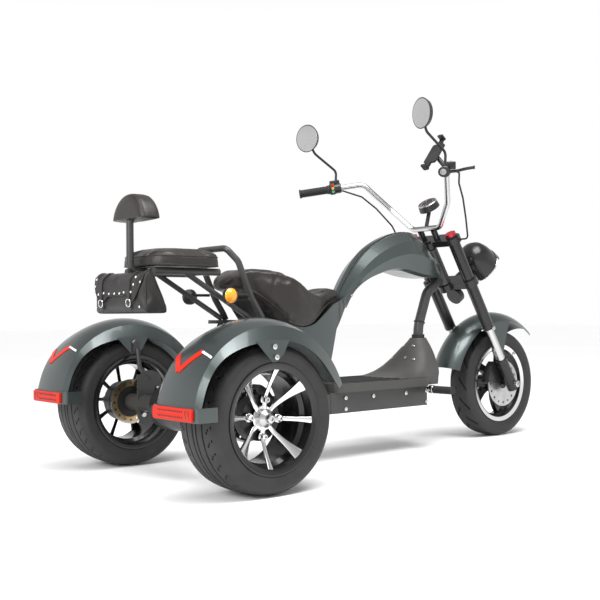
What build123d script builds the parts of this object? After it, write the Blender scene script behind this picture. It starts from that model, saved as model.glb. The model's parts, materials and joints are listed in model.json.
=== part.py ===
"""Electric chopper-style trike with one steered front wheel and two driven rear wheels.

Millimetres. +X points forward, +Y to the rider's left, +Z up.
The origin lies on the ground, under the middle of the trike's length and width.
"""
import os
from math import cos, radians, sin

from build123d import *

os.makedirs("parts", exist_ok=True)

# Running gear
wheelbase = 1610
track = 796  # between the middles of the rear tyres
rear_reach = 302  # from the rear axle back to the faces of the tail lamps
front_tyre_radius = 229.5
front_tyre_half = 55
rear_tyre_radius = 228
rear_tyre_half = 97
rim_lip_radius = 167  # twelve-inch rims
rim_seat_radius = 152
rim_lip_thickness = 5
rim_wall = 6
front_rim_half = 46
rear_rim_half = 92
seat_gap = 0.3  # between pieces that rest on each other
running_gap = 5  # between pieces that move past each other

# Steering head and fork, measured along the fork legs upwards from the front axle
rake = 31.5
yoke_offset = 35
fork_half = 105
fork_leg_radius = 24
stanchion_radius = 17
slider_radius = 24
slider_top = 124
leg_bottom = 282
leg_top = 730
lower_yoke_bottom = 495
lower_yoke_top = 524
upper_yoke_bottom = 697
upper_yoke_top = 722
head_tube_bottom = 530
head_tube_top = 692
head_tube_radius = 28
stem_radius = 14
axle_radius = 8

# Handlebar
bar_radius = 11
bar_end_bore_radius = 8
bar_end_bore_depth = 40
grip_radius = 16.5
grip_length = 130

# Deck and battery box
deck_half = 142
deck_rear = 566
deck_front = 1062
deck_bottom = 251
deck_top = 283
mat_thickness = 5
toe_top = 434
toe_top_x = 1140
box_half = 122
box_rear = 545
box_front = 1062
box_bottom = 175

# Seats and rear rack
saddle_half = 150
pad_length = 268
pad_half = 132
pad_bottom = 691
pad_top = 748
pad_middle = -45
rack_tube_radius = 12
rack_half = 85
hoop_half = 107
rack_foot_x = 230
rack_foot_y = 97
rack_foot_length = 90
rack_foot_width = 50
rack_foot_thickness = 6
rack_foot_top = 512
backrest_half = 105
backrest_bottom = 842
backrest_top = 932

# Rear mudguards
guard_half = 116
guard_wall = 4
band_bottom = 240
band_top = 281
lamp_half = 108

# Places worked out from the driving dimensions
rear_x = -(wheelbase + front_tyre_radius - rear_reach) / 2
front_x = rear_x + wheelbase
rear_hub_y = track / 2
fork_up = Vector(-sin(radians(rake)), 0, cos(radians(rake)))
fork_ahead = Vector(cos(radians(rake)), 0, sin(radians(rake)))
front_axle = Vector(front_x, 0, front_tyre_radius)
fork_plane = Plane(origin=front_axle, x_dir=fork_ahead, z_dir=fork_up)
head_plane = Plane(origin=front_axle - fork_ahead * yoke_offset, x_dir=fork_ahead, z_dir=fork_up)
side_plane = Plane(origin=(rear_x, 0, 0), x_dir=(1, 0, 0), z_dir=(0, -1, 0))
plan_plane = Plane(origin=(rear_x, 0, 0))
sides = (("left", 1), ("right", -1))


def spot(x, y, z):
    """A point given by its reach ahead of the rear axle, its side and its height."""
    return Vector(rear_x + x, y, z)


def save(part, name):
    """Names a finished piece and writes it."""
    part.label = name
    export_step(part, f"parts/{name}.step")


def round_bar(points, bend, radius):
    """Adds a round bar along straight runs joined by tangent arcs to the piece being built."""
    with BuildLine() as run:
        if len(points) > 2:
            FilletPolyline(*points, radius=bend)
        else:
            Line(*points)
    with BuildSketch(Plane(origin=run.line @ 0, z_dir=run.line % 0)) as section:
        Circle(radius)
    sweep(section.sketch, path=run.line)


# Tyres
def tyre(name, centre, radius, half_width, rim_half):
    tread_half = half_width * 0.8
    crown_drop = 6
    shoulder_drop = 24
    bead_half = rim_half - rim_lip_thickness - seat_gap
    with BuildPart() as piece:
        with BuildSketch(Plane(origin=centre)):
            with BuildLine():
                crown = TangentArc((radius, 0), (radius - crown_drop, tread_half), tangent=(0, 1))
                shoulder = Line(crown @ 1, (radius - shoulder_drop, half_width - 1))
                wall = ThreePointArc(
                    shoulder @ 1,
                    ((radius + rim_lip_radius) / 2 - 4, half_width),
                    (rim_lip_radius + 1, bead_half),
                )
                bead = Line(wall @ 1, (rim_seat_radius + seat_gap, bead_half))
                Line(bead @ 1, (rim_seat_radius + seat_gap, 0))
                mirror(about=Plane.XZ)
            make_face()
        revolve(axis=Axis(centre, (0, 1, 0)))
    save(piece.part, name)


def rim_barrel(centre, half, well_radius, well_half):
    """Adds a stepped rim barrel with its two lips to the piece being built."""
    with BuildSketch(Plane(origin=centre)) as section:
        with BuildLine():
            Polyline(
                (well_radius, 0),
                (well_radius, well_half),
                (rim_seat_radius, well_half + 10),
                (rim_seat_radius, half - rim_lip_thickness),
                (rim_lip_radius, half - rim_lip_thickness),
                (rim_lip_radius, half),
                (rim_seat_radius - rim_wall, half - rim_lip_thickness),
                (rim_seat_radius - rim_wall, well_half + 14),
                (well_radius - rim_wall, well_half + 4),
                (well_radius - rim_wall, 0),
            )
            mirror(about=Plane.XZ)
        make_face()
    revolve(section.sketch, axis=Axis(centre, (0, 1, 0)))


front_hub = (front_x, 0, front_tyre_radius)
tyre("front_tyre", front_hub, front_tyre_radius, front_tyre_half, front_rim_half)
for side, out in sides:
    hub = (rear_x, out * rear_hub_y, rear_tyre_radius)
    tyre(f"rear_{side}_tyre", hub, rear_tyre_radius, rear_tyre_half, rear_rim_half)

# Rear rims: eight spokes, narrow ones from the wheel nuts and flared ones between, in a deep dish.
# Heights stand outwards from the tyre's middle.
dish_hub_height = 34
dish_kink_radius = 126
dish_kink_height = 68
dish_tip_radius = 149
dish_tip_height = 84
dish_thickness = 15
hub_pad_radius = 38
lug_circle = 110
lug_hole_radius = 6.5
lug_boss_radius = 14
hub_cap_radius = 27.5
rear_wheel_clocking = -5
narrow_spoke = ((20, 9), (dish_kink_radius - 20, 6), (dish_tip_radius + 3, 9))  # radius, half width
flared_spoke = ((20, 7), (dish_kink_radius - 20, 8), (dish_tip_radius + 3, 19))


def spoke_outline(rows):
    return [(r, -w) for r, w in rows] + [(r, w) for r, w in reversed(rows)]


for side, out in sides:
    hub = (rear_x, out * rear_hub_y, rear_tyre_radius)
    face = Plane(origin=hub, x_dir=(1, 0, 0), z_dir=(0, out, 0))
    with BuildPart() as rear_rim:
        with BuildSketch(Plane(origin=hub)):
            with BuildLine():
                Polyline(
                    (0, out * dish_hub_height),
                    (lug_circle / 2 + lug_boss_radius, out * dish_hub_height),
                    (dish_kink_radius, out * dish_kink_height),
                    (dish_tip_radius, out * dish_tip_height),
                    (dish_tip_radius, out * (dish_tip_height - dish_thickness)),
                    (dish_kink_radius, out * (dish_kink_height - dish_thickness)),
                    (lug_circle / 2 + lug_boss_radius, out * (dish_hub_height - dish_thickness)),
                    (0, out * (dish_hub_height - dish_thickness)),
                    close=True,
                )
            make_face()
        revolve(axis=Axis(hub, (0, 1, 0)))
        with BuildSketch(face):
            Circle(hub_pad_radius)
            with PolarLocations(lug_circle / 2, 4, start_angle=rear_wheel_clocking):
                Circle(lug_boss_radius)
            with PolarLocations(0, 4, start_angle=rear_wheel_clocking):
                Polygon(*spoke_outline(narrow_spoke), align=None)
            with PolarLocations(0, 4, start_angle=rear_wheel_clocking + 45):
                Polygon(*spoke_outline(flared_spoke), align=None)
        extrude(amount=rear_rim_half, mode=Mode.INTERSECT)
        rim_barrel(hub, rear_rim_half, 140, 35)
        with BuildSketch(face):
            Circle(hub_cap_radius + seat_gap)
            with PolarLocations(lug_circle / 2, 4, start_angle=rear_wheel_clocking):
                Circle(lug_hole_radius)
        extrude(amount=rear_rim_half, mode=Mode.SUBTRACT)
    save(rear_rim.part, f"rear_{side}_rim")

# Rear hubs: cap, brake drum, disc and half shaft in one turned piece
drum_radius = 70
drum_inner = -22
disc_radius = 80
disc_outer = -48
disc_inner = -52
disc_carrier_radius = 40
half_shaft_radius = 15
half_shaft_inner = -190
axle_tube_outer = -62
disc_hole_circle = 132
for side, out in sides:
    hub = (rear_x, out * rear_hub_y, rear_tyre_radius)
    face = Plane(origin=hub, x_dir=(1, 0, 0), z_dir=(0, out, 0))
    flange_face = dish_hub_height - dish_thickness - seat_gap
    with BuildPart() as rear_hub:
        with BuildSketch(Plane(origin=hub)):
            with BuildLine():
                Polyline(
                    (0, out * 60),
                    (15, out * 60),
                    (hub_cap_radius, out * 48),
                    (hub_cap_radius, out * flange_face),
                    (drum_radius, out * flange_face),
                    (drum_radius, out * drum_inner),
                    (disc_carrier_radius, out * drum_inner),
                    (disc_carrier_radius, out * disc_outer),
                    (disc_radius, out * disc_outer),
                    (disc_radius, out * disc_inner),
                    (half_shaft_radius, out * disc_inner),
                    (half_shaft_radius, out * half_shaft_inner),
                    (0, out * half_shaft_inner),
                    close=True,
                )
            make_face()
        revolve(axis=Axis(hub, (0, 1, 0)))
        with BuildSketch(face.offset(disc_inner)):
            with PolarLocations(disc_hole_circle / 2, 16):
                Circle(4)
        extrude(amount=disc_outer - disc_inner, mode=Mode.SUBTRACT)
    save(rear_hub.part, f"rear_{side}_hub")

# Rear axle: housing tubes with knuckle plates, and the drive unit between them
axle_tube_radius = 30
drive_half = 92
drive_radius = 78
plate_y = 248
plate_thickness = 8
guard_tab_y = rear_hub_y - guard_half - seat_gap
shaft_bore_inner = rear_hub_y + half_shaft_inner - running_gap
with BuildPart() as rear_axle:
    for side, out in sides:
        middle = Plane(origin=(rear_x, 0, rear_tyre_radius), x_dir=(1, 0, 0), z_dir=(0, out, 0))
        up = -out
        with BuildSketch(middle.offset(drive_half)):
            Circle(axle_tube_radius)
        extrude(amount=rear_hub_y + axle_tube_outer - drive_half)
        with BuildSketch(middle.offset(plate_y)):
            with Locations((20, up * 20)):
                RectangleRounded(96, 190, 44)
        extrude(amount=plate_thickness)
        round_bar(
            [spot(20, out * (plate_y + 4), 312), spot(-14, out * (plate_y + 10), 350), spot(-14, out * 274, 420)], 40, 8
        )
        with BuildSketch(Plane(origin=spot(-16, out * guard_tab_y, 424), x_dir=(1, 0, 0), z_dir=(0, -out, 0))):
            Rectangle(26, 44)
        extrude(amount=8)
        with BuildSketch(middle.offset(shaft_bore_inner)):
            Circle(half_shaft_radius + seat_gap)
        extrude(amount=rear_hub_y, mode=Mode.SUBTRACT)
save(rear_axle.part, "rear_axle")

with BuildPart() as drive_unit:
    middle = Plane(origin=(rear_x, 0, rear_tyre_radius), x_dir=(1, 0, 0), z_dir=(0, 1, 0))
    with BuildSketch(middle.offset(-drive_half)):
        Circle(drive_radius)
    extrude(amount=2 * drive_half)
save(drive_unit.part, "drive_unit")

caliper_half_angle = 28
caliper_heading = 40
caliper_outer_radius = 102
caliper_cheek = 13


def ring_sector(plane, inner, outer, heading, half_angle, up=1):
    """A sketch of part of a ring: its heading turns from the plane's x axis towards up times its y axis."""
    angles = [radians(heading + turn) for turn in (-half_angle, 0, half_angle)]
    rays = [Vector(cos(a), up * sin(a)) for a in angles]
    with BuildSketch(plane) as sector:
        with BuildLine():
            outer_arc = ThreePointArc(*[ray * outer for ray in rays])
            inner_arc = ThreePointArc(*[ray * inner for ray in rays])
            Line(outer_arc @ 0, inner_arc @ 0)
            Line(outer_arc @ 1, inner_arc @ 1)
        make_face()
    return sector.sketch


with BuildPart() as rear_calipers:
    for side, out in sides:
        wheel = Plane(origin=(rear_x, out * rear_hub_y, rear_tyre_radius), x_dir=(1, 0, 0), z_dir=(0, out, 0))
        slot_inner = disc_inner - running_gap
        slot_outer = disc_outer + running_gap
        # start, thickness and inner radius of the inner cheek, the outer cheek and the bridge over the disc
        layers = (
            (slot_inner - caliper_cheek, caliper_cheek, axle_tube_radius + seat_gap),
            (slot_outer, caliper_cheek, disc_carrier_radius + running_gap),
            (slot_inner, slot_outer - slot_inner, disc_radius + running_gap),
        )
        for start, thickness, inner in layers:
            layer = ring_sector(
                wheel.offset(start), inner, caliper_outer_radius, caliper_heading, caliper_half_angle, -out
            )
            extrude(layer, amount=thickness)
save(rear_calipers.part, "rear_calipers")

# Front wheel: five curved spokes, hub and brake disc on the right
front_spoke_half = 13
front_spoke_thickness = 24
front_hub_radius = 32
front_hub_half = 62
front_disc_radius = 100
front_disc_y = -60
front_disc_thickness = 4
front_face = Plane(origin=front_hub, x_dir=(1, 0, 0), z_dir=(0, -1, 0))
with BuildPart() as front_rim:
    with BuildSketch(front_face.offset(-front_spoke_thickness / 2)) as spokes:
        Circle(front_hub_radius + 10)
        for turn in range(5):
            with BuildLine(Rot(0, 0, turn * 72)) as spoke:
                lead = ThreePointArc((20, -front_spoke_half), (90, -26), (148, -8))
                trail = ThreePointArc((20, front_spoke_half), (90, 2), (148, 22))
                Line(lead @ 0, trail @ 0)
                Line(lead @ 1, trail @ 1)
            make_face()
    extrude(amount=front_spoke_thickness)
    with BuildSketch(front_face.offset(-front_hub_half)):
        Circle(front_hub_radius)
    extrude(amount=front_hub_half - front_disc_y - front_disc_thickness / 2 - seat_gap)
    rim_barrel(front_hub, front_rim_half, 142, 12)
    with BuildSketch(front_face.offset(-front_hub_half)):
        Circle(axle_radius + seat_gap)
    extrude(amount=2 * front_hub_half, mode=Mode.SUBTRACT)
save(front_rim.part, "front_rim")

with BuildPart() as front_disc:
    with BuildSketch(front_face.offset(-front_disc_y - front_disc_thickness / 2)):
        Circle(front_disc_radius)
        Circle(front_hub_radius - 8, mode=Mode.SUBTRACT)
        with PolarLocations(84, 16):
            Circle(5, mode=Mode.SUBTRACT)
    extrude(amount=front_disc_thickness)
save(front_disc.part, "front_disc")

# Main frame: head tube, down tube, rear arms with axle clamps, seat rails
down_tube_radius = 20
arm_radius = 17
arm_y = 150
seat_rail_radius = 13
cross_member_depth = 28
clamp_half = 16
with BuildPart() as main_frame:
    with BuildSketch(head_plane.offset(head_tube_bottom)):
        Circle(head_tube_radius)
    extrude(amount=head_tube_top - head_tube_bottom)
    head_foot = head_plane.from_local_coords((0, 0, head_tube_bottom + 28))
    round_bar(
        [head_foot, spot(1196, 0, 622), spot(toe_top_x, 0, 480), spot(toe_top_x, 0, toe_top + seat_gap)],
        [60, 200],
        down_tube_radius,
    )
    with BuildSketch(head_plane.offset(head_tube_bottom)):
        Circle(stem_radius + seat_gap)
    extrude(amount=head_tube_top - head_tube_bottom, mode=Mode.SUBTRACT)
with BuildPart() as rear_frame:
    with BuildSketch(Plane(origin=spot(box_rear - cross_member_depth, 0, 0), x_dir=(0, 1, 0), z_dir=(1, 0, 0))):
        with Locations((0, (box_bottom + deck_bottom) / 2)):
            Rectangle(2 * box_half, deck_bottom - box_bottom - 8)
    extrude(amount=cross_member_depth - seat_gap)
    beam_x = box_rear - cross_member_depth / 2
    for side, out in sides:
        round_bar(
            [spot(beam_x, out * 100, 215), spot(420, out * arm_y, 215), spot(36, out * arm_y, rear_tyre_radius)],
            120,
            arm_radius,
        )
        clamp = Plane(
            origin=(rear_x, out * (arm_y - clamp_half), rear_tyre_radius), x_dir=(1, 0, 0), z_dir=(0, out, 0)
        )
        with BuildSketch(clamp):
            Circle(axle_tube_radius + 12)
        extrude(amount=2 * clamp_half)
        with BuildSketch(clamp):
            Circle(axle_tube_radius + seat_gap)
        extrude(amount=2 * clamp_half, mode=Mode.SUBTRACT)
        round_bar(
            [spot(beam_x, out * rack_half, 230), spot(478, out * rack_half, 420), spot(205, out * rack_half, 497)],
            90,
            seat_rail_radius,
        )
        with BuildSketch(plan_plane.offset(rack_foot_top - rack_foot_thickness)):
            with Locations((rack_foot_x, out * rack_foot_y)):
                Rectangle(rack_foot_length, rack_foot_width)
        extrude(amount=rack_foot_thickness)
save(main_frame.part, "main_frame")
save(rear_frame.part, "rear_frame")

# Battery box under the deck
with BuildPart() as battery_box:
    with BuildSketch(plan_plane.offset(box_bottom)):
        with Locations(((box_rear + box_front) / 2, 0)):
            RectangleRounded(box_front - box_rear, 2 * box_half, 8)
    extrude(amount=deck_bottom - seat_gap - box_bottom)
save(battery_box.part, "battery_box")

# Footboard: deck tray and the toe cover that rises round the down tube
with BuildPart() as footboard:
    with BuildSketch(plan_plane.offset(deck_bottom)):
        with Locations(((deck_rear + deck_front) / 2, 0)):
            RectangleRounded(deck_front - deck_rear, 2 * deck_half, 30)
    extrude(amount=deck_top - deck_bottom)
    with BuildSketch(plan_plane.offset(deck_bottom + 4)):
        with Locations((1060, 0)):
            RectangleRounded(180, 2 * deck_half - 24, 60)
    with BuildSketch(plan_plane.offset(330)):
        with Locations((1108, 0)):
            RectangleRounded(120, 210, 50)
    with BuildSketch(plan_plane.offset(toe_top)):
        with Locations((toe_top_x, 0)):
            RectangleRounded(64, 64, 30)
    loft()
save(footboard.part, "footboard")

rib_count = 7
rib_pitch = 34
with BuildPart() as foot_mat:
    with BuildSketch(plan_plane.offset(deck_top)):
        with Locations(((deck_rear + 960) / 2 + 6, 0)):
            RectangleRounded(960 - deck_rear - 12, 2 * deck_half - 20, 24)
    extrude(amount=2)
    with BuildSketch(plan_plane.offset(deck_top + 2)):
        with Locations(((deck_rear + 960) / 2 + 6, 0)):
            with GridLocations(1, rib_pitch, 1, rib_count):
                Rectangle(960 - deck_rear - 60, 14)
    extrude(amount=mat_thickness - 2)
save(foot_mat.part, "foot_mat")

# Tank cover: cross-sections along the arch, each hung from its crest point.
# share of the way from the tail to the head tube, height, lean from straight down (degrees), depth, half width
tank_tail = 680
tank_seat_along = 680
tank_seat = head_plane.from_local_coords((-head_tube_radius - seat_gap, 0, tank_seat_along))
tank_length = tank_seat.X - rear_x - tank_tail
tank_sections = (
    (0, 578, 58, 36, 46),
    (0.045, 629, 54, 42, 50),
    (0.162, 712, 44, 66, 66),
    (0.37, 805, 34, 122, 84),
    (0.632, 857, 4, 160, 92),
    (0.828, 846, 9, 168, 80),
    (1, tank_seat.Z, rake, 88, 42),
)
with BuildPart() as tank_cover:
    for share, height, lean, depth, half in tank_sections:
        crest = spot(tank_tail + share * tank_length, 0, height)
        down = Vector(sin(radians(lean)), 0, -cos(radians(lean)))
        with BuildSketch(Plane(origin=crest, x_dir=(0, 1, 0), z_dir=down.cross(Vector(0, 1, 0)))):
            with BuildLine():
                Polyline(
                    (0.3 * half, 0),
                    (0.86 * half, -0.22 * depth),
                    (half, -0.55 * depth),
                    (0.8 * half, -0.94 * depth),
                    (0.62 * half, -depth),
                    (-0.62 * half, -depth),
                    (-0.8 * half, -0.94 * depth),
                    (-half, -0.55 * depth),
                    (-0.86 * half, -0.22 * depth),
                    (-0.3 * half, 0),
                    close=True,
                )
            make_face()
    loft()
save(tank_cover.part, "tank_cover")

# Saddle: side profile met by the plan outline; the base and side panels follow its lower edge
saddle_low = ((205, 618), (271, 556), (330, 512), (404, 492), (474, 506), (580, 572), (682, 600))


def lower_edge(drop):
    """The saddle's lower edge from back to front, moved down."""
    points = [(x, z - drop) for x, z in saddle_low]
    Line(points[0], points[1])
    Line(points[1], points[2])
    ThreePointArc(*points[2:5])
    Line(points[4], points[5])
    Line(points[5], points[6])


with BuildPart() as saddle:
    with BuildSketch(side_plane):
        with BuildLine():
            lower_edge(0)
            ThreePointArc((130, 632), (176, 676), (258, 690))
            ThreePointArc((258, 690), (340, 678), (415, 642))
            ThreePointArc((415, 642), (505, 607), (590, 622))
            ThreePointArc((590, 622), (640, 633), (682, 622))
            Line((682, 622), saddle_low[-1])
            Line((130, 632), saddle_low[0])
        make_face()
    extrude(amount=saddle_half + 10, both=True)
    with BuildSketch(plan_plane.offset(400)):
        with BuildLine():
            ThreePointArc((205, 86), (130, 0), (205, -86))
            ThreePointArc((205, 86), (300, 128), (380, saddle_half))
            ThreePointArc((380, saddle_half), (470, 136), (560, 94))
            Line((560, 94), (668, 48))
            ThreePointArc((668, 48), (682, 0), (668, -48))
            ThreePointArc((205, -86), (300, -128), (380, -saddle_half))
            ThreePointArc((380, -saddle_half), (470, -136), (560, -94))
            Line((560, -94), (668, -48))
        make_face()
    extrude(amount=400, mode=Mode.INTERSECT)
save(saddle.part, "saddle")

base_half = rack_half - seat_rail_radius - seat_gap
with BuildPart() as saddle_base:
    with BuildSketch(side_plane):
        with BuildLine():
            lower_edge(seat_gap)
            last = (saddle_low[-1][0], saddle_low[-1][1] - seat_gap)
            first = (saddle_low[0][0], saddle_low[0][1] - seat_gap)
            Polyline(last, (640, 570), (560, 440), (340, 440), first)
        make_face()
    extrude(amount=base_half, both=True)
    with BuildSketch(plan_plane.offset(400)):
        with Locations((430, 0)):
            Rectangle(400, 2 * base_half + 10)
    extrude(amount=400, mode=Mode.INTERSECT)
save(saddle_base.part, "saddle_base")

panel_thickness = 5
with BuildPart() as side_panels:
    with BuildSketch(side_plane):
        with BuildLine():
            lower_edge(seat_gap)
            last = (saddle_low[-1][0], saddle_low[-1][1] - seat_gap)
            first = (saddle_low[0][0], saddle_low[0][1] - seat_gap)
            Polyline(last, (676, 560), (600, 480), (560, 366), (470, 400), (330, 452), (300, 480), first)
        make_face()
    extrude(amount=saddle_half + 10, both=True)
    with BuildSketch(plan_plane.offset(300)):
        for out in (1, -1):
            with BuildLine():
                outer = ThreePointArc((686, out * 58), (560, out * 112), (330, out * 132))
                inner = ThreePointArc(
                    (684, out * (58 - panel_thickness)),
                    (558, out * (112 - panel_thickness)),
                    (330, out * (132 - panel_thickness)),
                )
                Line(outer @ 0, inner @ 0)
                Line(outer @ 1, inner @ 1)
            make_face()
    extrude(amount=400, mode=Mode.INTERSECT)
save(side_panels.part, "side_panels")

# Passenger pad, rear rack with its hoop and post, backrest and tool bag
post_x = -200
with BuildPart() as passenger_pad:
    with BuildSketch(plan_plane.offset(pad_bottom)):
        with Locations((pad_middle, 0)):
            RectangleRounded(pad_length, 2 * pad_half, 70)
    extrude(amount=pad_top - pad_bottom)
    fillet(passenger_pad.faces().sort_by(Axis.Z)[-1].edges(), 26)
save(passenger_pad.part, "passenger_pad")

rail_z = pad_bottom - 2 * seat_gap - rack_tube_radius
with BuildPart() as rear_rack:
    hoop = [(250, 1, 520), (240, 1, 540), (205, 1, 592), (176, 1, 655), (150, 1, 716)]
    legs = [[spot(x, y * side * hoop_half, z) for x, y, z in hoop] for side in (1, -1)]
    tops = [spot(118, side * (hoop_half - 25), 760) for side in (1, -1)]
    round_bar(legs[0] + tops + legs[1][::-1], [15, 60, 60, 40, 25, 25, 40, 60, 60, 15], rack_tube_radius - 1)
    for out in (1, -1):
        round_bar([spot(-165, out * rack_half, rail_z), spot(86, out * rack_half, rail_z)], 0, rack_tube_radius)
        round_bar([spot(-52, out * rack_half, rail_z), spot(215, out * rack_half, 524)], 0, 9)
        with BuildSketch(plan_plane.offset(rack_foot_top + seat_gap)):
            with Locations((rack_foot_x, out * rack_foot_y)):
                Rectangle(rack_foot_length, rack_foot_width)
        extrude(amount=rack_foot_thickness)
    for x in (-140, 60):
        round_bar([spot(x, rack_half, rail_z), spot(x, -rack_half, rail_z)], 0, 9)
    round_bar(
        [spot(-140, 0, rail_z), spot(post_x, 0, rail_z), spot(post_x, 0, backrest_bottom - seat_gap)],
        24,
        rack_tube_radius,
    )
save(rear_rack.part, "rear_rack")

backrest_rear = -218
backrest_depth = 82
with BuildPart() as backrest_pad:
    with BuildSketch(Plane(origin=spot(backrest_rear, 0, 0), x_dir=(0, 1, 0), z_dir=(1, 0, 0))):
        with BuildLine():
            ThreePointArc((-backrest_half, backrest_bottom), (0, backrest_top), (backrest_half, backrest_bottom))
            Line((-backrest_half, backrest_bottom), (backrest_half, backrest_bottom))
        make_face()
    extrude(amount=backrest_depth)
    fillet(backrest_pad.edges().filter_by(GeomType.CIRCLE), 24)
save(backrest_pad.part, "backrest_pad")

bag_half = 160
bag_rear = -242
bag_bottom = 541
bag_top_front = (-204.6, 680)  # where it leans on the bend of the post
with BuildPart() as tool_bag:
    with BuildSketch(side_plane):
        with BuildLine():
            Polyline((bag_rear + 6, bag_bottom), (-156, bag_bottom), (-156, bag_bottom + 20), bag_top_front)
            ThreePointArc(bag_top_front, (-228, 678), (bag_rear, 655))
            Polyline((bag_rear, 655), (bag_rear, bag_bottom + 12), (bag_rear + 6, bag_bottom))
        make_face()
    extrude(amount=bag_half, both=True)
save(tool_bag.part, "tool_bag")

# Rear mudguards: a crowned shell whose sides stand deeper over the wheel's top than behind it,
# with side tabs and a band that carries the tail lamp.
# angle above the front horizontal, crest radius, crown drop at the shoulder, edge radius
guard_sections = (
    (172, 296, 5, 286),
    (150, 299, 6, 282),
    (128, 300, 12, 262),
    (106, 300, 20, 238),
    (84, 300, 24, 232),
    (60, 300, 24, 232),
    (38, 299, 22, 232),
    (19, 296, 16, 246),
)
shoulder_half = 0.8 * guard_half
tab_outline = ((-88, 458), (-26, 464), (36, 462), (12, 420), (-14, 398), (-30, 398))
band_reach = 294
band_half = guard_half + 2
band_wall = 5
for side, out in sides:
    hub = Vector(rear_x, out * rear_hub_y, rear_tyre_radius)
    with BuildPart() as rear_guard:
        for angle, crest, drop, edge in guard_sections:
            ray = Vector(cos(radians(angle)), 0, sin(radians(angle)))
            with BuildSketch(Plane(origin=hub, x_dir=ray, z_dir=(-ray.Z, 0, ray.X))):
                with BuildLine():
                    top = crest - drop
                    outside = ThreePointArc((top, -shoulder_half), (crest, 0), (top, shoulder_half))
                    inside = ThreePointArc(
                        (top - guard_wall, 2 - shoulder_half),
                        (crest - guard_wall, 0),
                        (top - guard_wall, shoulder_half - 2),
                    )
                    Polyline(outside @ 0, (edge, -guard_half), (edge, guard_wall - guard_half), inside @ 0)
                    Polyline(outside @ 1, (edge, guard_half), (edge, guard_half - guard_wall), inside @ 1)
                make_face()
        loft()
        for face in (-1, 1):
            flank_y = out * rear_hub_y + face * (guard_half - guard_wall / 2)
            with BuildSketch(side_plane.offset(-flank_y)):
                Polygon(*tab_outline, align=None)
            extrude(amount=guard_wall / 2, both=True)
        with BuildSketch(Plane(origin=(rear_x, out * rear_hub_y, band_bottom))):
            with BuildLine():
                FilletPolyline(
                    (-226, -band_half), (-band_reach, -band_half), (-band_reach, band_half), (-226, band_half), radius=16
                )
                FilletPolyline(
                    (-226, band_wall - band_half),
                    (band_wall - band_reach, band_wall - band_half),
                    (band_wall - band_reach, band_half - band_wall),
                    (-226, band_half - band_wall),
                    radius=16 - band_wall,
                )
                Line((-226, -band_half), (-226, band_wall - band_half))
                Line((-226, band_half), (-226, band_half - band_wall))
            make_face()
        extrude(amount=band_top - band_bottom)
    save(rear_guard.part, f"rear_{side}_guard")

lamp_height = 36
with BuildPart() as tail_lamps:
    for side, out in sides:
        lamp_origin = spot(-band_reach - seat_gap, out * rear_hub_y, (band_bottom + band_top) / 2)
        with BuildSketch(Plane(origin=lamp_origin, x_dir=(0, 1, 0), z_dir=(-1, 0, 0))):
            RectangleRounded(2 * lamp_half - 16, lamp_height, 6)
        extrude(amount=rear_reach - band_reach - seat_gap)
save(tail_lamps.part, "tail_lamps")

# Turn signals on stalks from the hoop's legs
signal_x = 106
signal_z = 600
signal_radius = 27
signal_inner = 104
signal_lens = 126
stalk_end = 185.2
with BuildPart() as turn_signals:
    for side, out in sides:
        with BuildSketch(Plane(origin=spot(signal_x, 0, signal_z))):
            with BuildLine():
                Polyline(
                    (0, out * signal_inner),
                    (12, out * signal_inner),
                    (signal_radius, out * (signal_inner + 10)),
                    (signal_radius, out * signal_lens),
                    (0, out * signal_lens),
                    close=True,
                )
            make_face()
        revolve(axis=Axis(spot(signal_x, 0, signal_z), (0, 1, 0)))
        stalk_y = out * (signal_inner + signal_lens) / 2
        round_bar([spot(signal_x, stalk_y, signal_z + 6), spot(stalk_end, stalk_y, signal_z + 6)], 0, 5)
save(turn_signals.part, "turn_signals")
with BuildPart() as signal_lenses:
    for side, out in sides:
        with BuildSketch(Plane(origin=spot(signal_x, 0, signal_z))):
            with BuildLine():
                start = out * (signal_lens + seat_gap)
                TangentArc((0, start + out * 13), (signal_radius - 2, start), tangent=(1, 0))
                Polyline((signal_radius - 2, start), (0, start), (0, start + out * 13))
            make_face()
        revolve(axis=Axis(spot(signal_x, 0, signal_z), (0, 1, 0)))
save(signal_lenses.part, "signal_lenses")

# Foot pegs on a bar across the front of the battery box
peg_bar_radius = 10
peg_radius = 13
peg_reach = 242
peg_x = box_front + seat_gap + peg_bar_radius
peg_z = 236
with BuildPart() as foot_pegs:
    round_bar([spot(peg_x, -peg_reach, peg_z), spot(peg_x, peg_reach, peg_z)], 0, peg_bar_radius)
    for out in (1, -1):
        round_bar([spot(peg_x, out * (deck_half + 8), peg_z), spot(peg_x, out * peg_reach, peg_z)], 0, peg_radius)
save(foot_pegs.part, "foot_pegs")

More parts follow.
